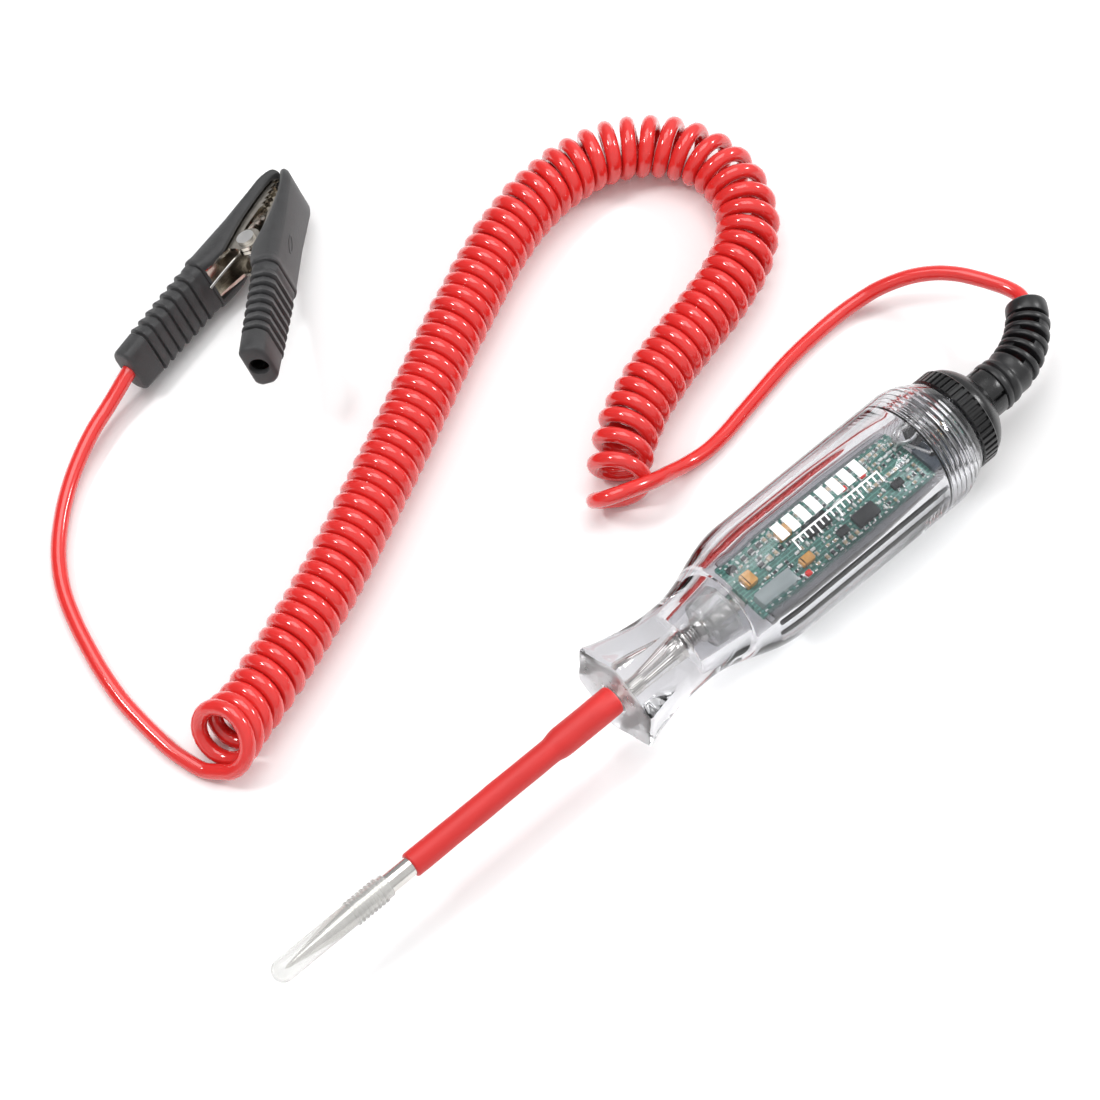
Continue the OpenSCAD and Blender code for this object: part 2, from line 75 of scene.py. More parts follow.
class Shape:
    """Gathers the points and faces of one piece, in millimetres."""

    def __init__(self):
        self.points, self.faces, self.paint = [], [], []

    def add(self, points, faces, mat=0):
        base = len(self.points)
        self.points += [tuple(p) for p in points]
        self.faces += [tuple(base + i for i in f) for f in faces]
        self.paint += [mat] * len(faces)

    def rings(self, rings, mat=0, loop=False):
        """Skins a row of rings that have the same number of points."""
        n = len(rings[0])
        faces = []
        count = len(rings)
        for i in range(count if loop else count - 1):
            a, b = i * n, (i + 1) % count * n
            for k in range(n):
                j = (k + 1) % n
                faces.append((a + k, a + j, b + j, b + k))
        if not loop:
            faces.append(tuple(range(n - 1, -1, -1)))
            faces.append(tuple(range((count - 1) * n, count * n)))
        self.add([p for r in rings for p in r], faces, mat)

    def turned(self, profile, sides, loop=False, reach=None):
        """Turns [place along the tool, radius] round the tool's axis."""
        rings = []
        for x, r in profile:
            ring = []
            for a in circle(sides):
                q = reach(x, r, a) if reach else r
                ring.append((x, q * sin(a), AXIS_Z + q * cos(a)))
            rings.append(ring)
        self.rings(rings, loop=loop)

    def block(self, lo, hi, cut=0.1, mat=0):
        """A box with its upright corners and its top edges taken off."""
        x0, y0, z0 = lo
        x1, y1, z1 = hi

        def outline(inset, z):
            c = cut
            a, b, d, e = x0 + inset, x1 - inset, y0 + inset, y1 - inset
            return [
                (a + c, d, z), (b - c, d, z), (b, d + c, z), (b, e - c, z),
                (b - c, e, z), (a + c, e, z), (a, e - c, z), (a, d + c, z),
            ]

        self.rings([outline(0, z0), outline(0, z1 - cut), outline(cut, z1)], mat)

    def tube(self, path, r):
        path = [Vector(p) for p in path]
        rings = []
        side = None
        for i, p in enumerate(path):
            along = (path[min(i + 1, len(path) - 1)] - path[max(i - 1, 0)]).normalized()
            if side is None:
                side = along.orthogonal().normalized()
            side = (side - along * side.dot(along)).normalized()
            up = along.cross(side)
            rings.append([tuple(p + r * (cos(a) * side + sin(a) * up)) for a in circle(10)])
        self.rings(rings)


def piece(name, shape, mats, slot=None, replaces=(), body="tester", sharp=40):
    """The object made from a shape. With a slot it is settled, and else it is still to be cut."""
    mesh = bpy.data.meshes.new(name)
    mesh.from_pydata([(x * MM, y * MM, z * MM) for x, y, z in shape.points], [], shape.faces)
    for m in mats:
        mesh.materials.append(m)
    mesh.polygons.foreach_set("material_index", shape.paint)
    bm = bmesh.new()
    bm.from_mesh(mesh)
    bmesh.ops.remove_doubles(bm, verts=bm.verts, dist=1e-7)
    bmesh.ops.recalc_face_normals(bm, faces=bm.faces)
    bm.to_mesh(mesh)
    bm.free()
    mesh.shade_smooth()
    mesh.set_sharp_from_angle(angle=radians(sharp))
    obj = placed(name, mesh)
    if slot:
        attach(obj, body)
        if replaces:
            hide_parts(*replaces)
    return obj


def carve(obj, cutter, sharp=40):
    """Cuts one mesh out of another and throws the cutter away."""
    cut = obj.modifiers.new("cut", "BOOLEAN")
    cut.operation = "DIFFERENCE"
    cut.solver = "EXACT"
    cut.object = cutter
    bpy.context.view_layer.update()
    shown = obj.evaluated_get(bpy.context.evaluated_depsgraph_get())
    mesh = bpy.data.meshes.new_from_object(shown)
    obj.modifiers.clear()
    old = obj.data
    obj.data = mesh
    mesh.name = old.name
    bpy.data.meshes.remove(old)
    gone = cutter.data
    bpy.data.objects.remove(cutter)
    bpy.data.meshes.remove(gone)
    mesh.shade_smooth()
    mesh.set_sharp_from_angle(angle=radians(sharp))


# ---------------------------------------------------------------- materials


def made(nodes, kind, **values):
    """A new node with these values in its inputs, where an underscore stands for a space."""
    node = nodes.new(kind)
    for key, value in values.items():
        node.inputs[key.replace("_", " ")].default_value = value
    return node


def ramp(nodes, *stops):
    """A colour ramp between two stops, each a position and a colour."""
    node = nodes.new("ShaderNodeValToRGB")
    for element, (position, color) in zip(node.color_ramp.elements, stops):
        element.position = position
        element.color = (*color, 1)
    return node


def surface(
    name, color, rough, metal=0.0, shade=0.85, shade_scale=120.0, grain=0.0,
    grain_scale=2500.0, rough_spread=0.05, stretch=(1, 1, 1), **sockets
):
    """A Principled material whose colour, roughness and relief vary over the surface."""
    m = bpy.data.materials.new(name)
    m.use_nodes = True
    nodes, links = m.node_tree.nodes, m.node_tree.links
    skin = nodes["Principled BSDF"]
    place = nodes.new("ShaderNodeTexCoord")
    spread = made(nodes, "ShaderNodeMapping", Scale=stretch)
    links.new(place.outputs["Object"], spread.inputs["Vector"])

    cloud = made(nodes, "ShaderNodeTexNoise", Scale=shade_scale, Detail=5.0)
    links.new(spread.outputs["Vector"], cloud.inputs["Vector"])
    tones = ramp(nodes, (0.3, [c * shade for c in color]), (0.7, color))
    links.new(cloud.outputs["Fac"], tones.inputs["Fac"])
    links.new(tones.outputs["Color"], skin.inputs["Base Color"])

    low = max(0.0, rough - rough_spread)
    wear = made(nodes, "ShaderNodeMapRange", To_Min=low, To_Max=rough + rough_spread)
    links.new(cloud.outputs["Fac"], wear.inputs["Value"])
    links.new(wear.outputs["Result"], skin.inputs["Roughness"])

    if grain:
        fine = made(nodes, "ShaderNodeTexNoise", Scale=grain_scale, Detail=3.0)
        links.new(spread.outputs["Vector"], fine.inputs["Vector"])
        relief = made(nodes, "ShaderNodeBump", Strength=grain, Distance=0.0001)
        links.new(fine.outputs["Fac"], relief.inputs["Height"])
        links.new(relief.outputs["Normal"], skin.inputs["Normal"])
    skin.inputs["Metallic"].default_value = metal
    for key, value in sockets.items():
        skin.inputs[key.replace("_", " ")].default_value = value
    return m


def lets_lamps_through(m, tint):
    """Shadow rays pass straight through a clear material, so what is inside stays lit."""
    nodes, links = m.node_tree.nodes, m.node_tree.links
    skin, out = nodes["Principled BSDF"], nodes["Material Output"]
    open_way = made(nodes, "ShaderNodeBsdfTransparent", Color=(*tint, 1))
    rays = nodes.new("ShaderNodeLightPath")
    both = nodes.new("ShaderNodeMixShader")
    links.new(rays.outputs["Is Shadow Ray"], both.inputs["Fac"])
    links.new(skin.outputs["BSDF"], both.inputs[1])
    links.new(open_way.outputs["BSDF"], both.inputs[2])
    links.new(both.outputs["Shader"], out.inputs["Surface"])


clear = surface(
    "clear_moulding", (0.68, 0.68, 0.70), 0.02, shade=0.97, rough_spread=0.01, grain=0.12,
    grain_scale=160.0, Transmission_Weight=1.0, IOR=1.45,
)
lets_lamps_through(clear, (0.97, 0.975, 0.98))
clear_etched = surface(
    "clear_etched", (0.74, 0.74, 0.755), 0.3, shade=0.9, shade_scale=500.0, grain=0.9,
    grain_scale=600.0, rough_spread=0.1, Transmission_Weight=0.92, IOR=1.45,
)
lets_lamps_through(clear_etched, (0.93, 0.935, 0.94))
clear_soft = surface(
    "soft_clear_cap", (0.80, 0.80, 0.785), 0.16, shade=0.95, rough_spread=0.05, grain=0.08,
    grain_scale=400.0, Transmission_Weight=0.72, IOR=1.42,
)
lets_lamps_through(clear_soft, (0.85, 0.86, 0.87))
insulator = surface(
    "clear_insulator", (0.78, 0.78, 0.77), 0.1, shade=0.8, grain=0.1, grain_scale=700.0,
    Transmission_Weight=0.85, IOR=1.46,
)
lets_lamps_through(insulator, (0.85, 0.85, 0.85))
clear_block = surface(
    "light_guide", (0.9, 0.95, 0.955), 0.12, shade=0.97, grain=0.2, grain_scale=700.0,
    Transmission_Weight=0.7, IOR=1.46,
)
lets_lamps_through(clear_block, (0.85, 0.88, 0.9))
cord_red = surface(
    "cord_red", (0.70, 0.024, 0.021), 0.16, shade=0.93, shade_scale=260.0, grain=0.06,
    grain_scale=1500.0, rough_spread=0.04, Coat_Weight=0.6, Coat_Roughness=0.07,
    Subsurface_Weight=0.12, Subsurface_Scale=0.0012,
)
sleeve_red = surface(
    "sleeve_red", (0.60, 0.02, 0.018), 0.48, shade=0.9, shade_scale=300.0, grain=0.35,
    grain_scale=900.0, rough_spread=0.08, stretch=(0.25, 1, 1),
)
nickel = surface(
    "nickel", (0.74, 0.72, 0.69), 0.16, metal=1.0, shade=0.88, shade_scale=400.0, grain=0.12,
    grain_scale=2500.0, rough_spread=0.06,
)
jaw_nickel = surface(
    "jaw_nickel", (0.74, 0.69, 0.61), 0.17, metal=1.0, shade=0.72, shade_scale=500.0, grain=0.15,
    grain_scale=1200.0, rough_spread=0.08,
)
rivet_bright = surface(
    "rivet_bright", (0.93, 0.92, 0.9), 0.3, metal=1.0, shade=0.9, shade_scale=400.0, grain=0.1,
)
spring_steel = surface(
    "spring_steel", (0.66, 0.65, 0.63), 0.24, metal=1.0, shade=0.75, shade_scale=900.0,
    grain=0.15, grain_scale=4000.0,
)
cap_black = surface(
    "cap_black", (0.006, 0.006, 0.0065), 0.27, shade=0.7, shade_scale=300.0, grain=0.25,
    grain_scale=2200.0, rough_spread=0.07,
)
relief_black = surface(
    "relief_black", (0.012, 0.012, 0.013), 0.36, shade=0.7, shade_scale=300.0, grain=0.25,
    grain_scale=1800.0, rough_spread=0.08,
)
boot_black = surface(
    "boot_rubber", (0.029, 0.029, 0.0305), 0.52, shade=0.62, shade_scale=420.0, grain=0.8,
    grain_scale=3200.0, rough_spread=0.09, Sheen_Weight=0.12,
)
solder = surface(
    "tinned", (0.78, 0.78, 0.77), 0.28, metal=1.0, shade=0.8, shade_scale=900.0, grain=0.2,
    grain_scale=3000.0,
)
chip_black = surface(
    "chip_black", (0.018, 0.019, 0.021), 0.5, shade=0.7, shade_scale=900.0, grain=0.4,
    grain_scale=6000.0,
)
ceramic = surface("ceramic", (0.50, 0.40, 0.27), 0.45, shade=0.7, shade_scale=700.0)
dark_ceramic = surface("dark_ceramic", (0.035, 0.035, 0.04), 0.4, shade=0.7, shade_scale=700.0)
amber = surface("capacitor_amber", (0.72, 0.37, 0.10), 0.38, shade=0.8, shade_scale=900.0)
amber_dark = surface("capacitor_band", (0.36, 0.13, 0.03), 0.4, shade=0.8, shade_scale=900.0)
led_red = surface(
    "led_red", (0.8, 0.03, 0.02), 0.25, shade=0.8, shade_scale=900.0, Coat_Weight=0.4,
)
pale = surface("pale_base", (0.75, 0.76, 0.72), 0.5, shade=0.85, shade_scale=900.0)
anchor_grey = surface(
    "anchor_grey", (0.03, 0.045, 0.065), 0.4, shade=0.75, shade_scale=500.0, grain=0.2,
)
copper = surface("copper", (0.72, 0.35, 0.2), 0.32, metal=1.0, shade=0.7, shade_scale=900.0)
ink = surface("white_ink", (0.93, 0.93, 0.93), 0.45, shade=0.93, shade_scale=700.0, grain=0.15)


def mixed_color(m, base, color, amount):
    """The output of a node that goes from the base socket's colour to this one by amount."""
    links = m.node_tree.links
    node = m.node_tree.nodes.new("ShaderNodeMix")
    node.data_type = "RGBA"
    sockets = {(socket.name, socket.type): socket for socket in node.inputs}
    links.new(amount, sockets["Factor", "VALUE"])
    links.new(base, sockets["A", "RGBA"])
    sockets["B", "RGBA"].default_value = (*color, 1)
    return [socket for socket in node.outputs if socket.type == "RGBA"][0]


def board_material():
    """Green solder mask with paler tracks and a scatter of tinned spots."""
    m = surface(
        "board_green", (0.045, 0.165, 0.135), 0.34, shade=0.75, shade_scale=350.0,
        Coat_Weight=0.3, Coat_Roughness=0.2,
    )
    nodes, links = m.node_tree.nodes, m.node_tree.links
    skin = nodes["Principled BSDF"]
    base = skin.inputs["Base Color"].links[0].from_socket
    place = nodes.new("ShaderNodeTexCoord")
    black, white = (0, 0, 0, 1), (1, 1, 1, 1)
    tracks = made(
        nodes, "ShaderNodeTexBrick", Scale=330.0, Mortar_Size=0.035, Brick_Width=0.9,
        Row_Height=0.28, Color1=black, Color2=black, Mortar=white,
    )
    links.new(place.outputs["Object"], tracks.inputs["Vector"])
    tracked = mixed_color(m, base, (0.12, 0.33, 0.27), tracks.outputs["Color"])
    spots = made(nodes, "ShaderNodeTexVoronoi", Scale=520.0)
    links.new(place.outputs["Object"], spots.inputs["Vector"])
    near = nodes.new("ShaderNodeMath")
    near.operation = "LESS_THAN"
    near.inputs[1].default_value = 0.16
    links.new(spots.outputs["Distance"], near.inputs[0])
    spotted = mixed_color(m, tracked, (0.55, 0.58, 0.5), near.outputs["Value"])
    links.new(spotted, skin.inputs["Base Color"])
    return m


board_green = board_material()


# ---------------------------------------------------------------- camera

TARGET = Vector((9.624, 39.569, 0.0)) * MM
BACK = Vector((-0.3291, -0.3602, 0.8729)).normalized()
RIGHT = Vector((0.7382, -0.6746, 0.0)).normalized()
CAMERA_AWAY = 798.86

camera_data = bpy.data.cameras.new("camera")
camera_data.lens = 125.33
camera_data.sensor_width = 36.0
camera_data.clip_start = 0.01
camera = placed("camera", camera_data)
camera.location = TARGET + BACK * CAMERA_AWAY * MM
camera.rotation_euler = BACK.to_track_quat("Z", "Y").to_euler()
bpy.context.scene.camera = camera


# ---------------------------------------------------------------- clip frame

BOOT_L = 56.0
HALF_SPREAD = radians(16.5)
CLIP_PLACE = (8.3, 132.2, 10.2)
CLIP_ROLL = radians(-27.5)
CLIP_HEADING = radians(13.5)
TIP_REACH = 20.0
TIP_DEPTH = 3.6
HANDLE_DEPTH = 5.8
SMOOTH_L = 29.7
STEP_S = BOOT_L - SMOOTH_L
FIXED_HALF = 4.2
CORD_R = 1.7
CORD_GRIP = 10.0


def swung(x, y, angle):
    return x * cos(angle) - y * sin(angle), x * sin(angle) + y * cos(angle)


def clip_point(p):
    """A point of the clip's frame, with Z along its pin, in the part's frame."""
    x, y = swung(p[0], p[1], HALF_SPREAD)
    y, z = swung(y, p[2], CLIP_ROLL)
    x, y = swung(x, y, CLIP_HEADING)
    return CLIP_PLACE[0] + x, CLIP_PLACE[1] + y, CLIP_PLACE[2] + z


def boot_xy(s, depth, side):
    """Place on a boot: along from its rear end, and in from its outer face."""
    back = BOOT_L - s
    ca, sa = cos(HALF_SPREAD), sin(HALF_SPREAD)
    return (
        TIP_REACH - back * ca - depth * sa,
        side * (TIP_DEPTH + back * sa - depth * ca),
    )


def boot_point(s, depth, w, side):
    x, y = boot_xy(s, depth, side)
    return clip_point((x, y, w))


# ---------------------------------------------------------------- cord

RELIEF_X0 = 100.7
RELIEF_R = 21.8
RELIEF_TURN = radians(57)
COIL_MEAN_R = 5.3
COIL_Z = 7.0
COIL_PITCH = 3.42
OPEN_PITCHES = (7.0, 6.4, 5.2, 4.3, 3.7)
# The last turns at the clip's end lean back over this length, up to this angle
LEAN_L, LEAN_MAX = 24.0, radians(34)
# The last ring is wider by END_GROWTH, which builds up over END_L
END_GROWTH, END_L = 1.25, 8.0
END_PHASE = 0.43
PER_TURN = 24

# The straight cord from the bend relief to the curly part
handle_run = [
    (120, 12.6, 13.5), (119.7, 15.8, 12.9), (118.6, 19, 12.4), (117.2, 22.2, 12),
    (115.2, 26, 11.4), (112.4, 30, 10.2), (108.4, 33.8, 8.4), (103.4, 37, 5.8),
    (98.6, 38.6, 3.8), (92.8, 39.5, 2.3), (86, 39.4, 1.8), (79, 38.8, 1.7), (73, 37.9, 1.7),
    (67, 36.8, 1.7), (61, 35.7, 1.7), (55, 34.6, 1.8), (49.2, 34, 2.2), (43.2, 34.1, 3.4),
    (38.3, 34.0, 5.8), (33.4, 33.7, 8.6), (28.7, 34.3, 10.4), (24.6, 35.4, 11),
    (22.3, 36.9, 10), (21.7, 38.8, 7.6), (22.9, 39.8, 4.6),
]

# The middle line of the curly part, from the clip's end to the handle's end
coil_route = [
    (-72.5, 48.3), (-63, 50.6), (-54, 53.4), (-46, 56.2), (-38, 59.2), (-30, 62.4), (-22, 66),
    (-14, 69.8), (-6, 73.6), (2, 77.4), (10, 81.4), (18, 85.4), (26, 89.4), (35, 93.4),
    (43.5, 97.2), (52.5, 100.6), (62, 103), (72, 103.8), (81, 102.6), (89, 99), (95, 93),
    (98.4, 85), (98, 76), (94, 68.4), (87.5, 62.8), (79.5, 59.4), (71, 57), (62, 55),
    (53.5, 52.8), (45.5, 50.2), (38.8, 47), (33.6, 43.6), (29, 39.4), (25.4, 35.4),
]

# The straight cord from the curly part to the clip
clip_run = [
    (-76.9, 48.4, 1.7), (-78, 52, 1.7), (-78.8, 56, 1.7), (-79.1, 60.5, 1.7), (-79.2, 66, 1.7),
    (-79, 72, 1.7), (-78, 79, 1.7), (-76.4, 86, 1.7),
    (-74.4, 93, 1.7), (-71.6, 100, 1.8), (-67.6, 106.4, 2), (-62.5, 112, 2.3),
    (-56.5, 117, 2.8), (-50.2, 121, 3.5), (-43.6, 124.2, 4.3), (-37.4, 126.4, 5),
]


def through(points, steps):
    """A Catmull-Rom curve through the points, with this many steps between two of them."""
    points = [Vector(p) for p in points]
    ends = [2 * points[0] - points[1]] + points + [2 * points[-1] - points[-2]]
    line = []
    for i in range(1, len(ends) - 2):
        a, b, c, d = ends[i - 1 : i + 3]
        for k in range(steps):
            t = k / steps
            line.append(
                0.5
                * (
                    2 * b + (c - a) * t + (2 * a - 5 * b + 4 * c - d) * t * t
                    + (3 * b - a - 3 * c + d) * t * t * t
                )
            )
    line.append(points[-1])
    return line


def curly_part():
    """The wound cord, wound once to count its turns and again so that they end in phase."""
    turns = wind(1.0)[1]
    wanted = floor(turns) + END_PHASE
    return wind(turns / wanted)[0]


def wind(stretch):
    """The wound cord from the handle's end to the clip's end, and how many turns it took.

    It is a left-handed helix round coil_route. The turns touch on the inside of a bend, stand
    apart over the last turns at the handle's end, and lean back at the clip's end. stretch
    multiplies the pitch.
    """
    middle = through([(x, y, COIL_Z) for x, y in reversed(coil_route)], 40)
    reach = [0.0]
    for a, b in zip(middle, middle[1:]):
        reach.append(reach[-1] + (b - a).length)
    total = reach[-1]
    span = 3.0

    def at(s):
        s = min(total - 1e-6, max(0.0, s))
        lo, hi = 0, len(reach) - 1
        while hi - lo > 1:
            m = (lo + hi) // 2
            lo, hi = (m, hi) if reach[m] <= s else (lo, m)
        return middle[lo].lerp(middle[hi], (s - reach[lo]) / (reach[hi] - reach[lo]))

    def heading(s):
        return (at(s + span) - at(s - span)).normalized()

    def lean(s):
        return LEAN_MAX * smooth((s - (total - LEAN_L)) / LEAN_L)

    line = []
    s, turn = 3.6, 0.5
    step = 1.0 / PER_TURN
    while True:
        along = heading(s)
        side = Vector((0, 0, 1)).cross(along)
        up = cos(lean(s)) * Vector((0, 0, 1)) - sin(lean(s)) * along
        phase = 2 * pi * turn
        growth = END_GROWTH * smooth((s - (total - END_L)) / (END_L - 1))
        radius = COIL_MEAN_R + 0.06 * sin(turn * 2.1) + growth
        lift = Vector((0, 0, radius - COIL_MEAN_R))
        p = at(s) + lift + radius * (cos(phase) * up + sin(phase) * side)
        p.z = max(p.z, CORD_R)
        line.append(p)
        bend = (heading(s + span) - heading(s - span)).length / (2 * span)
        pitch = COIL_PITCH / max(0.5, 1 - bend * COIL_MEAN_R)
        nth = int(turn)
        if nth < len(OPEN_PITCHES):
            after = OPEN_PITCHES[min(nth + 1, len(OPEN_PITCHES) - 1)]
            pitch = max(pitch, mix(OPEN_PITCHES[nth], after, turn - nth))
        pitch += COIL_MEAN_R * (lean(s + 3.4) - lean(s)) * 0.9
        s += pitch * stretch * step
        turn += step
        if s > total:
            return line, turn


def cord_line():
    """The whole cord: out of the cap, through the relief, curly part, and into the clip."""
    line = [Vector((80.5 + 2.02 * i, 0, AXIS_Z)) for i in range(10)]
    turns = 16
    for i in range(turns + 1):
        a = RELIEF_TURN * i / turns
        line.append(Vector((RELIEF_X0 + RELIEF_R * sin(a), RELIEF_R * (1 - cos(a)), AXIS_Z)))
    curly = curly_part()
    lead_in = through([tuple(line[-1])] + handle_run + [tuple(curly[0])], 6)
    line += lead_in[1:-1]
    line += curly
    entry = Vector(boot_point(0, HANDLE_DEPTH / 2, 0, 1))
    inside = Vector(boot_point(CORD_GRIP, HANDLE_DEPTH / 2, 0, 1))
    lead_out = through([tuple(curly[-1])] + clip_run + [tuple(entry)], 6)
    line += lead_out[1:]
    line += [entry.lerp(inside, t / 5) for t in range(1, 6)]
    for p in line:
        p.z = max(p.z, CORD_R + 0.08)
    return line


cord_points = cord_line()
cord_curve = bpy.data.curves.new("cord", "CURVE")
cord_curve.dimensions = "3D"
cord_curve.bevel_depth = CORD_R * MM
cord_curve.bevel_resolution = 4
cord_curve.use_fill_caps = True
spline = cord_curve.splines.new("POLY")
spline.points.add(len(cord_points) - 1)
for dot, p in zip(spline.points, cord_points):
    dot.co = (p.x * MM, p.y * MM, p.z * MM, 1)
spline.use_smooth = True
cord_curve.materials.append(cord_red)
cord = placed("cord", cord_curve)
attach(cord, "tester")
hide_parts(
    "cord_entry", "cord_handle_run", "cord_coil", "cord_clip_run", "cord_clip_entry"
)


# ---------------------------------------------------------------- probe and its cap

TIP_X, POINT_X, TAPER_X, CAP_OPEN_X = -98.5, -95.5, -78.5, -69.5
SLEEVE_X, CUFF_X, FRONT_X = -63.5, -26.0, -9.3
ROD_R, ROD_END_X = 2.1, 8.5


def build_probe():
    def reach(x, r, a):
        if -4.0 < x < 5.0 and r > 2.0:
            return r - 0.14 * (0.5 - 0.5 * cos(28 * a))
        return r

    profile = [(POINT_X, 0.0), (POINT_X + 0.08, 0.16), (POINT_X + 0.4, 0.26)]
    profile += [(mix(POINT_X + 0.4, TAPER_X, t / 8), mix(0.26, ROD_R, t / 8)) for t in range(1, 9)]
    profile += [(-60, ROD_R), (-4.2, ROD_R), (-3.9, ROD_R)]
    profile += [(-3.9 + 1.1 * i, ROD_R) for i in range(1, 9)]
    profile += [(5.1, ROD_R), (7.9, ROD_R), (8.3, ROD_R - 0.3), (ROD_END_X, ROD_R - 0.6)]
    profile += [(ROD_END_X, 0.0)]
    rod = Shape()
    rod.turned(profile, 168, reach=reach)
    piece("probe", rod, [nickel], "nickel", ["probe_rod"])


def build_tip_cap():
    outer_r, bore_r, rib_r = 2.45, ROD_R - 0.015, 2.76
    profile = []
    for i in range(11):
        a = radians(90 * i / 10)
        profile.append((TIP_X + outer_r * (1 - cos(a)), outer_r * sin(a)))
    rib_x = CAP_OPEN_X - 9.4
    profile.append((rib_x - 0.6, outer_r))
    for i in range(8):
        x = rib_x + 1.02 * i
        profile += [
            (x, outer_r), (x + 0.14, rib_r - 0.06), (x + 0.3, rib_r), (x + 0.5, rib_r),
            (x + 0.66, rib_r - 0.06), (x + 0.8, outer_r + 0.02),
        ]
    end = CAP_OPEN_X
    profile += [
        (end - 0.9, outer_r + 0.02), (end - 0.3, outer_r + 0.04), (end - 0.05, outer_r - 0.06),
        (end, outer_r - 0.14), (end, bore_r + 0.04), (end - 0.2, bore_r), (TAPER_X, bore_r),
        (mix(POINT_X, TAPER_X, 0.5), 1.12), (POINT_X - 0.1, 0.1), (POINT_X - 0.3, 0.0),
    ]
    cap = Shape()
    cap.turned(profile, 72)
    piece("tip_cover", cap, [clear_soft], "clear_soft", ["tip_cap"], "tip_cap")


def build_sleeve():
    def reach(x, r, a):
        if r < 2.4:
            return r
        spot = Vector((x * 0.22, 1.6 * sin(a), 1.6 * cos(a)))
        return r + 0.05 * noise.noise(spot) + 0.02 * noise.noise(spot * 4)

    inner = ROD_R - 0.02
    profile = [(SLEEVE_X, inner), (SLEEVE_X, 2.35), (SLEEVE_X + 0.1, 2.55), (SLEEVE_X + 0.35, 2.68)]
    profile += [(mix(SLEEVE_X + 0.6, CUFF_X - 0.6, i / 40), 2.7) for i in range(41)]
    profile += [(CUFF_X, 2.74), (CUFF_X + 0.6, 2.88), (CUFF_X + 1.4, 3.06), (CUFF_X + 2.4, 3.18)]
    profile += [(mix(CUFF_X + 3, FRONT_X - 0.6, i / 14), 3.2) for i in range(15)]
    profile += [(FRONT_X - 0.25, 3.14), (FRONT_X - 0.1, 3.0), (FRONT_X - 0.1, inner)]
    sleeve = Shape()
    sleeve.turned(profile, 48, loop=True, reach=reach)
    piece("sleeve", sleeve, [sleeve_red], "red_sleeve", ["shrink_sleeve"])


build_probe()
build_tip_cap()
build_sleeve()


# ---------------------------------------------------------------- clear handle

WAIST_R, WAIST_X, FLARE_R, BARREL_R, BARREL_X = 9.2, 9.5, 12.4, 14.0, 31.0
SHOULDER_X, REAR_X, CAVITY_R = 76.5, 85.0, 9.3
HANDLE_SIDES = 144


def handle_r(x):
    """Outer radius of the handle before the flare's flats are cut."""
    if x < WAIST_X:
        return WAIST_R + (FLARE_R - WAIST_R) * ((WAIST_X - x) / (WAIST_X - FRONT_X)) ** 2
    if x < BARREL_X:
        t = (x - WAIST_X) / (BARREL_X - WAIST_X)
        return WAIST_R + (BARREL_R - WAIST_R) * (1 - cos(pi * t)) / 2
    if x < SHOULDER_X:
        return BARREL_R
    return 11 + (BARREL_R - 11) * cos(pi / 2 * (x - SHOULDER_X) / (REAR_X - SHOULDER_X))


def flare_reach(x, r, a):
    """Six flats round the flare that fade out towards the waist."""
    if x > 8.5 or r < 4:
        return r
    turn = (a + pi / 6) % (pi / 3) - pi / 6
    flat = cos(pi / 6) / cos(pi / 6 - abs(turn))
    soft = mix(flat, 1 - 0.067 * (1 - cos(6 * a)), 0.3)
    fade = smooth((8.5 - x) / 15)
    inner = 1.0 if x > FRONT_X + 0.05 else smooth((r - 4) / 6)
    return r * (1 - (1 - soft) * fade * inner)


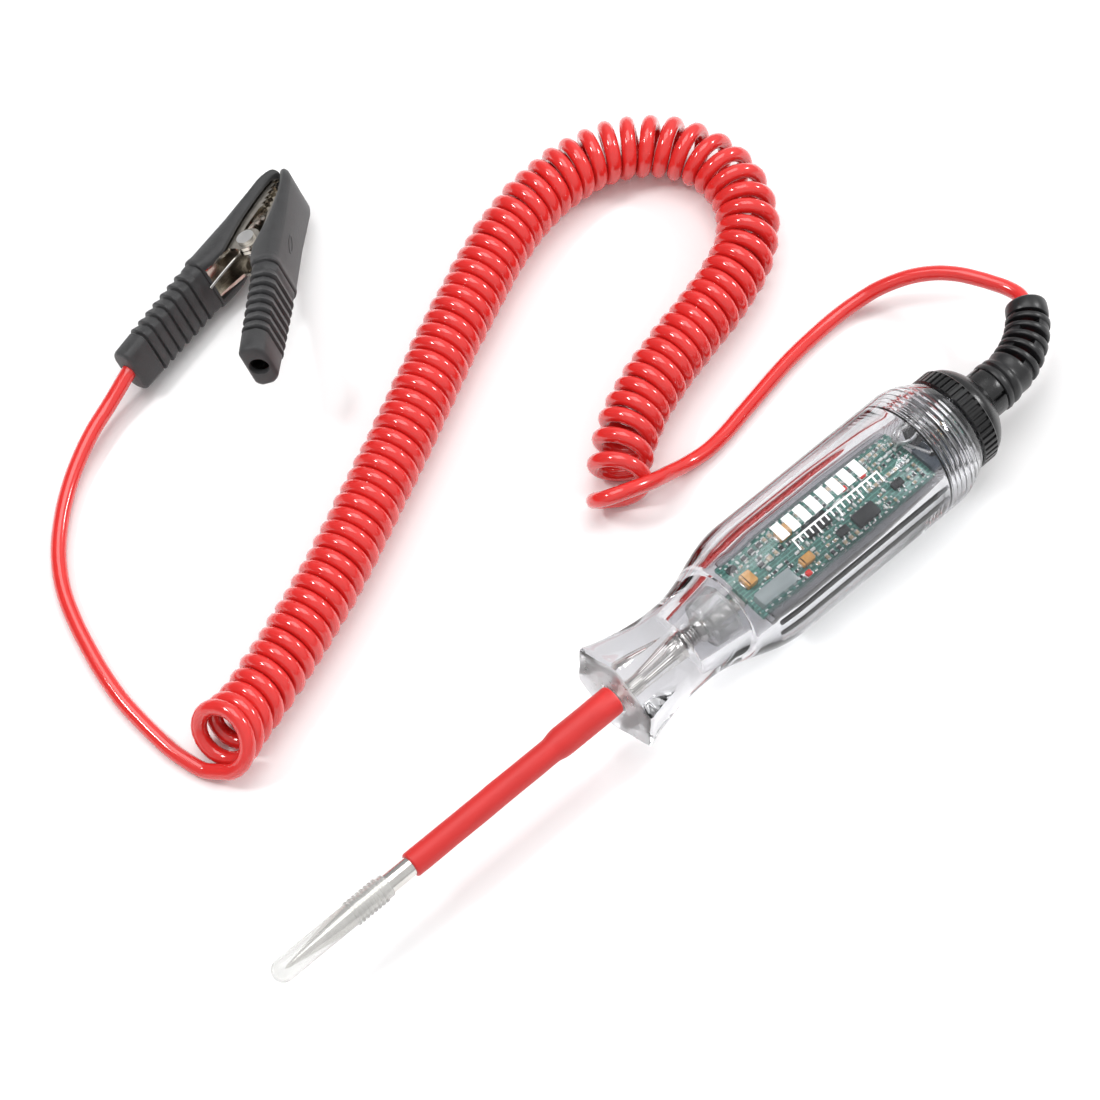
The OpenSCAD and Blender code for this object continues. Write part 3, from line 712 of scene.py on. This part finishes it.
def build_handle():
    profile = [(FRONT_X + 0.4, ROD_R - 0.06), (FRONT_X + 0.4, 3.3), (FRONT_X, 3.6)]
    profile += [(FRONT_X, 5.0), (FRONT_X + 0.25, 7.2), (FRONT_X + 0.1, 9.4)]
    profile += [(FRONT_X, 10.9), (FRONT_X + 0.06, 11.5), (FRONT_X + 0.3, 11.95)]
    profile += [(FRONT_X + 0.7, 12.15), (FRONT_X + 1.2, 12.1)]
    x = FRONT_X + 1.8
    while x < BARREL_X:
        profile.append((x, handle_r(x)))
        x += 0.8
    profile += [(BARREL_X + 15 * i, BARREL_R) for i in range(4)]
    profile += [(mix(SHOULDER_X, REAR_X, i / 12), 0) for i in range(12)]
    profile = [(x, r if r else handle_r(x)) for x, r in profile]
    profile += [(REAR_X - 0.25, 11.1), (REAR_X - 0.04, 10.8), (REAR_X, 10.5)]
    profile += [(REAR_X, 9.3), (REAR_X - 0.3, 9.0)]
    for i in range(8, -1, -1):
        x = 74.4 + 1.2 * i
        if x + 1 > REAR_X - 0.35:
            continue
        profile += [(x + 1, 9.0), (x + 0.72, 9.5), (x + 0.5, 9.62), (x + 0.28, 9.5), (x, 9.0)]
    profile += [(74.0, 9.0), (73.2, CAVITY_R), (52, CAVITY_R), (27.2, CAVITY_R)]
    profile += [(26.2, 9.24), (24.5, 9.0), (22.4, 8.6), (21.8, 8.4), (21.5, 8.1), (21.5, 7.1)]
    profile += [(21.3, 6.9), (15, 5.97), (9.0, 5.08), (8.6, 4.9), (8.5, 4.6), (8.5, ROD_R - 0.06)]
    shell = Shape()
    shell.turned(profile, HANDLE_SIDES, loop=True, reach=flare_reach)
    # The mould leaves the front face etched: the faces between these points of the profile
    first, last = 1, 8
    for i in range(HANDLE_SIDES * first, HANDLE_SIDES * last):
        shell.paint[i] = 1
    # Rails along the bore beside the board, with rounded rear ends
    for side, y in ((1, 7.5), (-1, 6.7), (-1, 8.5)):
        for z in (-1.6, 1.3):
            top = sqrt(max(0.0, CAVITY_R**2 - (abs(z) + 0.3) ** 2)) + 0.3
            if y > top - 0.3:
                continue
            rail = []
            for x, h in ((27, 0.3), (27.5, 0.5), (50, 0.5), (71, 0.5), (73, 0.42), (74, 0.15)):
                y0, y1 = side * y, side * top
                mid = AXIS_Z + z
                rail.append(
                    [(x, y0, mid - h), (x, y1, mid - h), (x, y1, mid + h), (x, y0, mid + h)]
                )
            shell.rings(rail)
    mats = [clear, clear_etched]
    piece("handle", shell, mats, "clear_plastic", ["handle_shell"], sharp=30)


build_handle()


def build_print():
    """A plain scale printed on the barrel: a row of blocks over a ruled line with ticks."""
    r = BARREL_R + 0.02
    marks = Shape()

    def patch(x0, x1, a0, a1):
        cells = max(1, int((a1 - a0) / 0.03))
        rings = []
        for i in range(cells + 1):
            a = mix(a0, a1, i / cells)
            rings.append(
                [
                    (x, q * sin(a), AXIS_Z + q * cos(a))
                    for x, q in ((x0, r), (x1, r), (x1, r + 0.02), (x0, r + 0.02))
                ]
            )
        marks.rings(rings)

    line_a, line_half = -0.22, 0.015
    for i in range(8):
        patch(35.0 + 3.1 * i, 37.2 + 3.1 * i, -0.13, 0.15)
    patch(36.5, 60.5, line_a - line_half, line_a + line_half)
    for i in range(17):
        tall = 0.18 if i % 4 == 0 else 0.11
        patch(36.5 + 1.475 * i, 36.9 + 1.475 * i, line_a - tall, line_a)
    piece("handle_print", marks, [ink], "ceramic")


build_print()


# ---------------------------------------------------------------- inside the handle

BOARD_X0, BOARD_X1, BOARD_Y0, BOARD_Y1, BOARD_BOTTOM, BOARD_TOP = 26, 75, -7.1, 8.1, 13.2, 14.8

# Places on the board and sizes: X, Y, width, depth and height
CHIPS = (
    (28.6, 5.2, 2.4, 2.2, 1.0), (50.4, -3.8, 2.8, 2.4, 1.1), (56.6, -4.2, 6, 3.8, 1.4),
    (47.4, 0.8, 6.4, 3.8, 1.4), (67, -3.4, 2.8, 2.4, 1.1),
)
CAPACITORS = (
    (29.4, 0.9, 3.2, 3.2, 1.8), (40.8, 4, 3.6, 2.6, 1.8), (40.2, -3.6, 3.6, 1.9, 1.5),
)
LAMPS = ((57.6, 3.2), (62.9, 2.8), (38.4, -5.9))
GUIDE_PLACE, GUIDE_SIZE = (31.2, -4.4), (8.6, 3.2, 2.4)


def build_board():
    board = Shape()
    board.block((BOARD_X0, BOARD_Y0, BOARD_BOTTOM), (BOARD_X1, BOARD_Y1, BOARD_TOP), 0.12)
    piece("board", board, [board_green], "board_green", ["circuit_board"])
    pads = Shape()
    chance = random.Random(5)
    for i in range(26):
        for y in (BOARD_Y0 + 0.7, BOARD_Y1 - 0.7):
            x = BOARD_X0 + 1.4 + i * 1.84
            pads.block((x - 0.35, y - 0.3, BOARD_TOP), (x + 0.35, y + 0.3, BOARD_TOP + 0.08), 0.05)
    for i in range(90):
        x = chance.uniform(BOARD_X0 + 1, BOARD_X1 - 1)
        y = chance.uniform(BOARD_Y0 + 1.2, BOARD_Y1 - 1.2)
        h = chance.uniform(0.14, 0.3)
        pads.block((x - h, y - h, BOARD_TOP), (x + h, y + h, BOARD_TOP + 0.1), 0.06)
    piece("board_pads", pads, [solder], "tinned_wire")


def part_on_board(shape, x, y, size, mat=0, cut=0.12, lift=0.0):
    w, d, h = size
    shape.block(
        (x - w / 2, y - d / 2, BOARD_TOP + lift), (x + w / 2, y + d / 2, BOARD_TOP + lift + h),
        cut, mat,
    )


def ended_part(shape, x, y, w, d, h, body):
    """A small part with a tinned end at each end of its longer side."""
    lengthwise = w > d
    size = (w * 0.56, d, h) if lengthwise else (w, d * 0.56, h)
    end = (w * 0.22, d + 0.04, h + 0.03) if lengthwise else (w + 0.04, d * 0.22, h + 0.03)
    part_on_board(shape, x, y, size, body, 0.06)
    for side in (-0.39, 0.39):
        px, py = x + side * w * lengthwise, y + side * d * (not lengthwise)
        part_on_board(shape, px, py, end, 2, 0.06)


def build_chips():
    chips = Shape()
    for x, y, w, d, h in CHIPS:
        part_on_board(chips, x, y, (w, d - 0.7, h - 0.15), 0, 0.18, 0.1)
        legs = max(2, int(w / 1.27))
        for i in range(legs):
            px = x - w / 2 + w * (i + 0.5) / legs
            for side in (-1, 1):
                foot = sorted((y + side * (d / 2 - 0.35), y + side * (d / 2 + 0.35)))
                mid = y + side * (d / 2 - 0.2)
                for y0, y1, tall in ((*foot, 0.22), (mid - 0.15, mid + 0.15, 0.65)):
                    lo, hi = (px - 0.2, y0, BOARD_TOP), (px + 0.2, y1, BOARD_TOP + tall)
                    chips.block(lo, hi, 0.05, 1)
    piece("chips", chips, [chip_black, solder], "chip_black", ["board_chips"])


def build_capacitors():
    caps = Shape()
    for x, y, w, d, h in CAPACITORS:
        part_on_board(caps, x, y, (w - 0.3, d, h - 0.1), 0, 0.22, 0.1)
        part_on_board(caps, x - w / 2 + 0.7, y, (0.6, d + 0.02, h - 0.08), 1, 0.2, 0.1)
        for side in (-1, 1):
            part_on_board(caps, x + side * w / 2, y, (0.5, d * 0.6, 0.6), 2, 0.08)
    piece(
        "capacitors", caps, [amber, amber_dark, solder], "capacitor_amber",
        ["board_capacitors"],
    )


# Rows of chip resistors and capacitors: how many, first place, gap, Y, and each one's size
PASSIVE_ROWS = (
    (5, 32.6, 1.5, 5.6, 0.8, 1.6), (7, 44.4, 1.8, 5.4, 0.9, 1.6), (6, 44.0, 1.7, -5.8, 0.8, 1.4),
    (6, 61.6, 1.9, -0.6, 1.6, 0.8), (5, 61.8, 2.0, 5.8, 1.6, 0.8), (4, 33.6, 1.6, 1.8, 0.8, 1.6),
)


def build_passives():
    small = Shape()
    chance = random.Random(11)
    for count, x0, gap, y, w, d in PASSIVE_ROWS:
        for i in range(count):
            ended_part(small, x0 + i * gap, y, w, d, 0.5, chance.choice((0, 1)))
    piece(
        "passives", small, [ceramic, dark_ceramic, solder], "ceramic",
        ["board_passives"],
    )


def build_small_parts():
    """The crowd of tiny parts between the larger ones."""
    taken = [(x, y, w / 2 + 0.9, d / 2 + 0.9) for x, y, w, d, h in CHIPS + CAPACITORS]
    taken += [(x, y, 1.6, 1.2) for x, y in LAMPS]
    taken += [(*GUIDE_PLACE, GUIDE_SIZE[0] / 2 + 0.8, GUIDE_SIZE[1] / 2 + 0.8)]
    for count, x0, gap, y, w, d in PASSIVE_ROWS:
        row = gap * (count - 1)
        taken.append((x0 + row / 2, y, (row + w) / 2 + 0.7, d / 2 + 0.6))
    small = Shape()
    chance = random.Random(23)
    for i in range(31):
        for k in range(9):
            x = BOARD_X0 + 2.0 + 1.5 * i + chance.uniform(-0.25, 0.25)
            y = BOARD_Y0 + 1.6 + 1.45 * k + chance.uniform(-0.2, 0.2)
            free = all(abs(x - a) > w or abs(y - b) > d for a, b, w, d in taken)
            if free and chance.random() < 0.85:
                w, d = chance.choice(((1.15, 0.6), (0.6, 1.15)))
                ended_part(small, x, y, w, d, chance.uniform(0.35, 0.55), chance.choice((0, 1, 3)))
    piece("small_parts", small, [ceramic, dark_ceramic, solder, pale], "ceramic")


def build_leds():
    lamps = Shape()
    for x, y in LAMPS:
        part_on_board(lamps, x, y, (2.0, 1.25, 0.35), 1, 0.06)
        part_on_board(lamps, x, y, (1.4, 1.15, 0.6), 0, 0.2, 0.3)
        for side in (-1, 1):
            part_on_board(lamps, x + side * 0.85, y, (0.3, 1.3, 0.4), 2, 0.06)
    piece("leds", lamps, [led_red, pale, solder], "led_red", ["indicator_leds"])


def build_guide():
    guide = Shape()
    part_on_board(guide, *GUIDE_PLACE, GUIDE_SIZE, 0, 0.3)
    piece("guide", guide, [clear_block], "clear_plastic", ["light_guide"])


def build_contact():
    spring = Shape()
    turns, n = 5, 24
    path = []
    for i in range(turns * n + 1):
        a = 2 * pi * i / n
        x = 8.75 + 3.7 * i / (turns * n)
        path.append((x, 1.8 * sin(a), AXIS_Z + 1.8 * cos(a)))
    spring.tube(path, 0.34)
    piece("contact_coil", spring, [spring_steel], "spring_steel", ["contact_spring"])
    cup = Shape()
    cup.turned(
        [
            (12.4, 2.25), (12.4, 2.6), (12.55, 2.7), (15.3, 2.7), (15.5, 2.6), (15.5, 0.0),
            (13.2, 0.0), (13.2, 2.2),
        ],
        48,
    )
    cup.block((15.4, -2.2, 12.8), (26.0, 2.2, 13.6), 0.15)
    for i in range(3):
        cup.block((17 + 2.6 * i, -1.5, 13.6), (18.3 + 2.6 * i, 1.5, 13.85), 0.1)
    piece("contact_plate", cup, [nickel], "nickel", ["contact_cup"])
    holder = Shape()
    holder.turned(
        [
            (14.2, 2.75), (14.2, 4.9), (14.5, 5.2), (20.6, 6.05), (21.0, 5.7), (21.0, 3.6),
            (16.2, 3.4), (15.8, 2.75),
        ],
        64, loop=True,
    )
    piece("contact_holder", holder, [insulator], "clear_plastic")


def build_lead():
    wire = Shape()
    tilt_x, tilt_y = Vector((1, 0.1, 0.25)).normalized(), Vector((-0.1, 1, -0.35)).normalized()

    def bent(centre, rx, ry, first, step, count):
        turns = [radians(first + step * i) for i in range(count)]
        return [tuple(centre + rx * cos(a) * tilt_x + ry * sin(a) * tilt_y) for a in turns]

    centre = Vector((76.4, 3.4, 17.6))
    path = [(73.4, 3.2, BOARD_TOP - 0.2), (73.4, 3.2, BOARD_TOP + 1.2)]
    path += bent(centre, 3.0, 2.6, 200, -13.2, 31)
    path += [(76.2, -0.6, 15.9), (77.2, -3.2, 16.1)]
    wire.tube(path, 0.42)
    wire.tube(bent(centre + Vector((-0.6, -0.9, 0.9)), 2.3, 1.9, 20, 13, 25), 0.36)
    piece("lead", wire, [solder], "tinned_wire", ["lead_wire"])
    anchor = Shape()
    anchor.block((75, -6.4, 13), (78.8, 0.2, 16), 0.35)
    block = piece("anchor", anchor, [anchor_grey])
    hole = Shape()
    rim = [(77.2 + 0.6 * cos(a), -3.4 + 0.6 * sin(a)) for a in circle(24)]
    hole.rings([[(x, y, z) for x, y in rim] for z in (14.5, 17)])
    carve(block, piece("hole", hole, []))
    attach(block, "tester")
    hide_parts("cord_anchor")


build_board()
build_chips()
build_capacitors()
build_passives()
build_small_parts()
build_leds()
build_guide()
build_contact()
build_lead()


# ---------------------------------------------------------------- screw cap

KNURL_R, NECK_R, CAP_X, DOME_X, NECK_X, RELIEF_X = 11.3, 5.4, 85.1, 89.2, 94.6, 98.5
RIBS = 44


def build_screw_cap():
    def reach(x, r, a):
        if CAP_X + 0.35 < x < DOME_X - 0.3 and r > 10:
            t = (a * RIBS / (2 * pi)) % 1.0
            return r - 0.5 * smooth((abs(t - 0.5) - 0.24) / 0.12)
        if x > NECK_X + 0.5 and r > 4.8:
            t = (a - pi / 4) % (pi / 2)
            t = min(t, pi / 2 - t)
            return r - 0.75 * (1 - smooth((t - 0.06) / 0.04))
        return r

    profile = [(80.0, 2.05), (80.0, 5.9), (80.2, 6.2), (81.0, 6.2)]
    for i in range(3):
        x = 81 + 1.2 * i
        profile += [(x, 8.7), (x + 0.15, 8.9), (x + 0.5, 8.9), (x + 0.7, 8.5), (x + 1, 8.5)]
    profile += [
        (84.9, 8.5), (CAP_X, 8.5), (CAP_X, 10.9), (CAP_X + 0.08, 11.12), (CAP_X + 0.3, KNURL_R),
        (CAP_X + 0.4, KNURL_R), (CAP_X + 0.6, KNURL_R), (87, KNURL_R), (DOME_X - 0.7, KNURL_R),
        (DOME_X - 0.4, KNURL_R), (DOME_X - 0.25, KNURL_R), (DOME_X - 0.05, 11.15),
        (DOME_X, 10.85),
    ]
    for i in range(1, 21):
        t = i / 20
        r = NECK_R + (KNURL_R - 0.5 - NECK_R) * cos(pi / 2 * t) ** 0.85
        profile.append((DOME_X + (NECK_X - DOME_X) * t, r))
    profile += [
        (NECK_X + 0.45, NECK_R), (NECK_X + 0.6, NECK_R), (96.6, NECK_R), (98.1, NECK_R),
        (98.35, NECK_R - 0.08), (RELIEF_X, NECK_R - 0.25), (RELIEF_X, 4.6), (95.0, 4.55),
        (95.0, 2.05),
    ]
    cap = Shape()
    cap.turned(profile, RIBS * 12, loop=True, reach=reach)
    piece("rear_cap", cap, [cap_black], "black_plastic", ["screw_cap"], "screw_cap", 35)


build_screw_cap()


# ---------------------------------------------------------------- bend relief


def relief_ring(t, r, half=None, middle=0.0):
    """A ring round the relief's middle line, t along it from the start of its bend.

    With half, it is the closed outline of a sector from the bore out to r.
    """
    if t < 0:
        centre, along = Vector((RELIEF_X0 + t, 0, AXIS_Z)), Vector((1, 0, 0))
    else:
        a = t / RELIEF_R
        centre = Vector((RELIEF_X0 + RELIEF_R * sin(a), RELIEF_R * (1 - cos(a)), AXIS_Z))
        along = Vector((cos(a), sin(a), 0))
    up = Vector((0, 0, 1))
    side = up.cross(along)

    def at(q, b):
        return tuple(centre + q * (cos(b) * up + sin(b) * side))

    if half is None:
        return [at(r, b) for b in circle(48)]
    n = 10
    outer = [at(r, middle - half + 2 * half * k / n) for k in range(n + 1)]
    inner = [at(2.45, middle + half - 2 * half * k / n) for k in range(n + 1)]
    return outer + inner


def build_relief():
    relief = Shape()
    base_t = RELIEF_R * radians(12)
    ring_t = RELIEF_R * radians(45)
    end_t = RELIEF_R * RELIEF_TURN
    bore = 2.32

    def tie(a, b, r, half, middle):
        """A bar between two ribs, from a to b along the middle line."""
        relief.rings([relief_ring(mix(a, b, k / 4), r, half, middle) for k in range(5)])

    base = [
        (-5.5, bore), (-5.5, 4.3), (-5.3, 4.45), (-2.2, 4.45), (-2.2, 5.3), (-2.05, 5.52),
        (-1.75, 5.6), (-1.1, 5.6), (-0.85, 5.5), (-0.75, 5.1), (-0.55, 4.9), (-0.2, 4.9),
        (0.0, 5.15), (0.25, 5.4), (0.9, 5.42), (1.3, 5.3), (1.6, 5.05), (1.9, 4.98), (2.6, 5.05),
        (3.6, 5.2), (4.2, 5.25), (base_t - 0.1, 5.15), (base_t, 4.9), (base_t, bore),
    ]
    relief.rings([relief_ring(t, r) for t, r in base], loop=True)
    pitch = (ring_t - base_t) / 5
    for i in range(5):
        t0 = base_t + (i + 0.5) * pitch
        t1 = base_t + (i + 1.0) * pitch
        r = 5.22 - 0.1 * i
        rib = [
            (t0, bore), (t0, r - 0.3), (t0 + 0.08, r - 0.1), (t0 + 0.25, r), (t1 - 0.25, r),
            (t1 - 0.08, r - 0.1), (t1, r - 0.3), (t1, bore),
        ]
        relief.rings([relief_ring(t, q) for t, q in rib], loop=True)
        lean = 58 if i % 2 else 118
        for turn in (lean, lean + 180):
            tie(base_t + i * pitch - 0.25, t0 + 0.25, 4.5, radians(34), radians(turn))
    for turn in (75, 255):
        tie(ring_t - 0.25, ring_t + 1.2, 4.2, radians(30), radians(turn))
    t0 = ring_t + 0.9
    end = [
        (t0, bore), (t0, 4.2), (t0 + 0.12, 4.45), (t0 + 0.4, 4.56), (t0 + 1.4, 4.6),
        (end_t - 1.0, 4.55), (end_t - 0.5, 4.4), (end_t - 0.2, 4.1), (end_t - 0.05, 3.7),
        (end_t, 3.2), (end_t, 2.4), (end_t - 0.25, 1.98), (end_t - 0.8, 1.95),
    ]
    relief.rings([relief_ring(t, q) for t, q in end], loop=True)
    return piece("cord_relief", relief, [relief_black], "black_rubber", ["bend_relief"])


cord_relief = build_relief()


# ---------------------------------------------------------------- clip


def boot_section(s, d0, d1, w, side, round_out=2.1, round_in=1.3):
    """A ring round a boot: a rectangle whose long edges have wide soft chamfers."""
    n = 5
    corners = []
    for d, q, r in ((d0, -w, round_out), (d0, w, round_out), (d1, w, round_in), (d1, -w, round_in)):
        r = min(r, w * 0.9, (d1 - d0) * 0.48)
        inward_d = r if d == d0 else -r
        inward_w = r if q < 0 else -r
        arc = []
        for k in range(n + 1):
            a = radians(90 * k / n)
            # Halfway between a round and a straight chamfer
            u = mix(1 - sin(a), 1 - k / n, 0.45)
            v = mix(1 - cos(a), k / n, 0.45)
            arc.append((d + inward_d * u, q + inward_w * v))
        corners.append(arc)
    # Each arc runs from the side face to the outer or inner face, so every other one turns round
    order = corners[0] + corners[1][::-1] + corners[2] + corners[3][::-1]
    return [boot_point(s, d, q, side) for d, q in order]


def boot_round(s, r, n, side):
    """A ring of n points round the middle line of a boot's rear part."""
    middle = HANDLE_DEPTH / 2
    return [boot_point(s, middle + r * cos(a), r * sin(a), side) for a in circle(n)]


def boot_inner(s):
    """Depth of a boot's inner side, from its rear end to its tip."""
    marks = (
        (0, 5.8), (26.3, 5.8), (29, 6.5), (33, 6.6), (38, 5.1), (43, 3.9), (48, 3.1), (53, 2.75),
        (55.4, 3.0), (57, 3.3),
    )
    for (a, x), (b, y) in zip(marks, marks[1:]):
        if s <= b:
            return mix(x, y, (s - a) / (b - a))
    return 3.3


# The socket in the lever boot, and the hole for the tube that lines it
SOCKET_R, LINING_R = 2.1, 2.4


def build_boot(side):
    rings = []

    def put(s, grow=0.0, d0=0.0, w=None, r=2.1):
        if w is None:
            w = mix(5.3, 6.15, s / STEP_S) if s < STEP_S else mix(6.5, 6.0, (s - STEP_S) / SMOOTH_L)
        rings.append(boot_section(s, d0 - grow, boot_inner(s) + min(grow, 0.0), w + grow, side, r))

    for s, grow in ((0.0, -0.75), (0.1, -0.42), (0.36, -0.12), (0.8, 0.0), (3.4, 0.0), (5.9, 0.0)):
        put(s, grow)
    # Seven overlapping ribs: each stands proud at its front edge and dips behind it
    for i in range(7):
        s = 6.3 + 2.6 * i
        for ds, grow in (
            (-0.15, -0.25), (0.0, -0.7), (0.3, -0.7), (0.42, 0.05), (0.62, 0.2), (1.1, 0.1),
            (2.2, -0.2),
        ):
            put(s + ds, grow)
    for s, grow in (
        (24.6, 0.0), (25.6, 0.0), (26.1, -0.02), (26.2, -0.3), (26.45, -0.3), (26.5, 0.0),
        (26.7, 0.14), (27.2, 0.16), (27.9, 0.06), (28.6, 0.0),
    ):
        put(s, grow)
    for s in (31, 33, 36, 40, 42.9, 46, 49):
        put(s)
    for s, d0, w, r in (
        (51, 0.0, 6.2, 2.0), (52.6, 0.05, 6.25, 1.8), (54, 0.25, 6.25, 1.6), (55.2, 0.6, 6.15, 1.3),
        (56.1, 1.05, 5.95, 0.9), (56.7, 1.55, 5.6, 0.5), (56.95, 2.0, 5.15, 0.3),
    ):
        put(s, 0.0, d0, w, r)
    boot = Shape()
    boot.rings(rings)
    name = "boot_fixed" if side > 0 else "boot_lever"
    obj = piece(name, boot, [boot_black], sharp=38)

    half = FIXED_HALF + 0.3
    outline = [
        boot_xy(10, 1.35, side), boot_xy(BOOT_L - 5, 1.35, side), boot_xy(BOOT_L - 1.6, 2.3, side),
        (TIP_REACH - 1.4, -side), (-7, -side), boot_xy(STEP_S + 0.7, 7.8, side),
        boot_xy(STEP_S + 0.7, 4.8, side), boot_xy(10, 4.8, side),
    ]
    hollow = Shape()
    hollow.rings([[clip_point((x, y, w)) for x, y in outline] for w in (-half, half)])
    carve(obj, piece("hollow", hollow, []), 38)
    r = SOCKET_R if side < 0 else CORD_R - 0.05
    lined = LINING_R if side < 0 else r
    stops = ((-1, r + 0.1), (-0.02, r + 0.1), (0.2, r), (1.5, r), (1.5, lined), (11, lined))
    bore = Shape()
    bore.rings([boot_round(s, q, 32, side) for s, q in stops])
    carve(obj, piece("bore", bore, []), 38)
    body = "tester" if side > 0 else "clip_lever"
    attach(obj, body)
    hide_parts("fixed_boot" if side > 0 else "lever_boot")
    return obj


boot_fixed = build_boot(1)
boot_lever = build_boot(-1)


def build_lining():
    """The metal tube that lines the socket in the lever boot's rear."""
    lining = Shape()
    inner, outer = SOCKET_R + 0.02, LINING_R - 0.02
    stops = ((1.55, inner), (1.55, outer), (10.9, outer), (10.9, inner))
    lining.rings([boot_round(s, q, 40, -1) for s, q in stops], loop=True)
    return piece("socket_lining", lining, [nickel], "nickel", body="clip_lever")


socket_lining = build_lining()


def build_mark():
    """A small raised mould mark on the lever boot's outer face: a plain oval."""
    mark = Shape()
    rings = []
    for size, lift in ((1.0, -0.1), (1.0, 0.07), (0.86, 0.12), (0.7, 0.07), (0.7, -0.1)):
        ring = []
        for a in circle(28):
            w = 0.8 + 0.95 * size * sin(a) + 0.5 * cos(a)
            ring.append(boot_point(36.5 + 2.6 * size * cos(a), -lift, w, -1))
        rings.append(ring)
    mark.rings(rings, loop=True)
    return piece("boot_mark", mark, [boot_black], "boot_rubber", body="clip_lever")


boot_mark = build_mark()


def build_clip_spring():
    """The spring's coil and the leg along the fixed boot, and the leg along the lever."""
    wire = 0.32
    pieces = []
    coil = []
    turns, n = 5, 24
    start = radians(180 - 16.5)
    for i in range(turns * n + 1):
        a = start + 2 * pi * i / n
        coil.append((1.75 * cos(a), 1.75 * sin(a), mix(-1.9, 1.9, i / (turns * n))))
    for side, body, name in ((1, "tester", "spring_coil"), (-1, "clip_lever", "spring_leg")):
        spring = Shape()
        if side > 0:
            spring.tube([clip_point(p) for p in coil], wire)
        leg = []
        for i in range(13):
            t = i / 12
            x, y = -0.6 - 12 * t * cos(HALF_SPREAD), side * (1.75 + 12 * t * sin(HALF_SPREAD))
            leg.append(clip_point((x, y + side * 0.25 * sin(pi * t), side * 1.7)))
        spring.tube(leg, wire)
        replaced = ["clip_spring"] if side > 0 else []
        pieces.append(piece(name, spring, [spring_steel], "spring_steel", replaced, body))
    return pieces


clip_spring = build_clip_spring()

for node, mat in (
    ("fixed_jaw", jaw_nickel), ("lever_jaw", jaw_nickel), ("pivot_rivet", rivet_bright),
    ("lead_crimp", copper),
):
    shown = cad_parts[node]
    for slot in shown.material_slots:
        slot.material = mat


# ---------------------------------------------------------------- floor and light

paper_mesh = bpy.data.meshes.new("floor")
paper_mesh.from_pydata([(-3, -3, 0), (3, -3, 0), (3, 3, 0), (-3, 3, 0)], [], [(0, 1, 2, 3)])
paper = placed("floor", paper_mesh)
paper_mesh.materials.append(
    surface("floor_paper", (0.93, 0.93, 0.93), 0.85, shade=0.99, shade_scale=8.0)
)


def soft_light(name, toward, distance, width, height, power):
    data = bpy.data.lights.new(name, "AREA")
    data.shape = "RECTANGLE"
    data.size, data.size_y = width, height
    data.energy = power
    lamp = placed(name, data)
    away = Vector(toward).normalized()
    lamp.location = TARGET + away * distance
    lamp.rotation_euler = away.to_track_quat("Z", "Y").to_euler()


soft_light("left_box", Vector((0, 0, 0.8)) - RIGHT * 0.6, 1.0, 0.22, 0.11, 3.4)
soft_light("right_box", Vector((0.75, -0.25, 0.62)), 1.0, 0.22, 0.11, 3.0)
soft_light("overhead", Vector((0.1, 0.25, 1)), 1.3, 0.9, 0.9, 7.0)

world = bpy.data.worlds.new("studio")
bpy.context.scene.world = world
world.use_nodes = True
nodes, links = world.node_tree.nodes, world.node_tree.links
where = nodes.new("ShaderNodeTexCoord")
parts = nodes.new("ShaderNodeSeparateXYZ")
links.new(where.outputs["Generated"], parts.inputs["Vector"])
sky = ramp(nodes, (0.05, (0.72, 0.72, 0.73)), (0.5, (1, 1, 1)))
links.new(parts.outputs["Z"], sky.inputs["Fac"])
# The studio is dimmer behind the tool, on the side that the barrel's upper edge reflects
toward = nodes.new("ShaderNodeVectorMath")
toward.operation = "DOT_PRODUCT"
toward.inputs[1].default_value = (-0.5, 0.77, 0.4)
links.new(where.outputs["Generated"], toward.inputs[0])
dim = ramp(nodes, (0.45, (1, 1, 1)), (0.9, (0.3, 0.3, 0.31)))
links.new(toward.outputs["Value"], dim.inputs["Fac"])
both = nodes.new("ShaderNodeVectorMath")
both.operation = "MULTIPLY"
links.new(sky.outputs["Color"], both.inputs[0])
links.new(dim.outputs["Color"], both.inputs[1])
glow = nodes["Background"]
links.new(both.outputs["Vector"], glow.inputs["Color"])
glow.inputs["Strength"].default_value = 0.8
bpy.context.scene.view_settings.view_transform = "Standard"
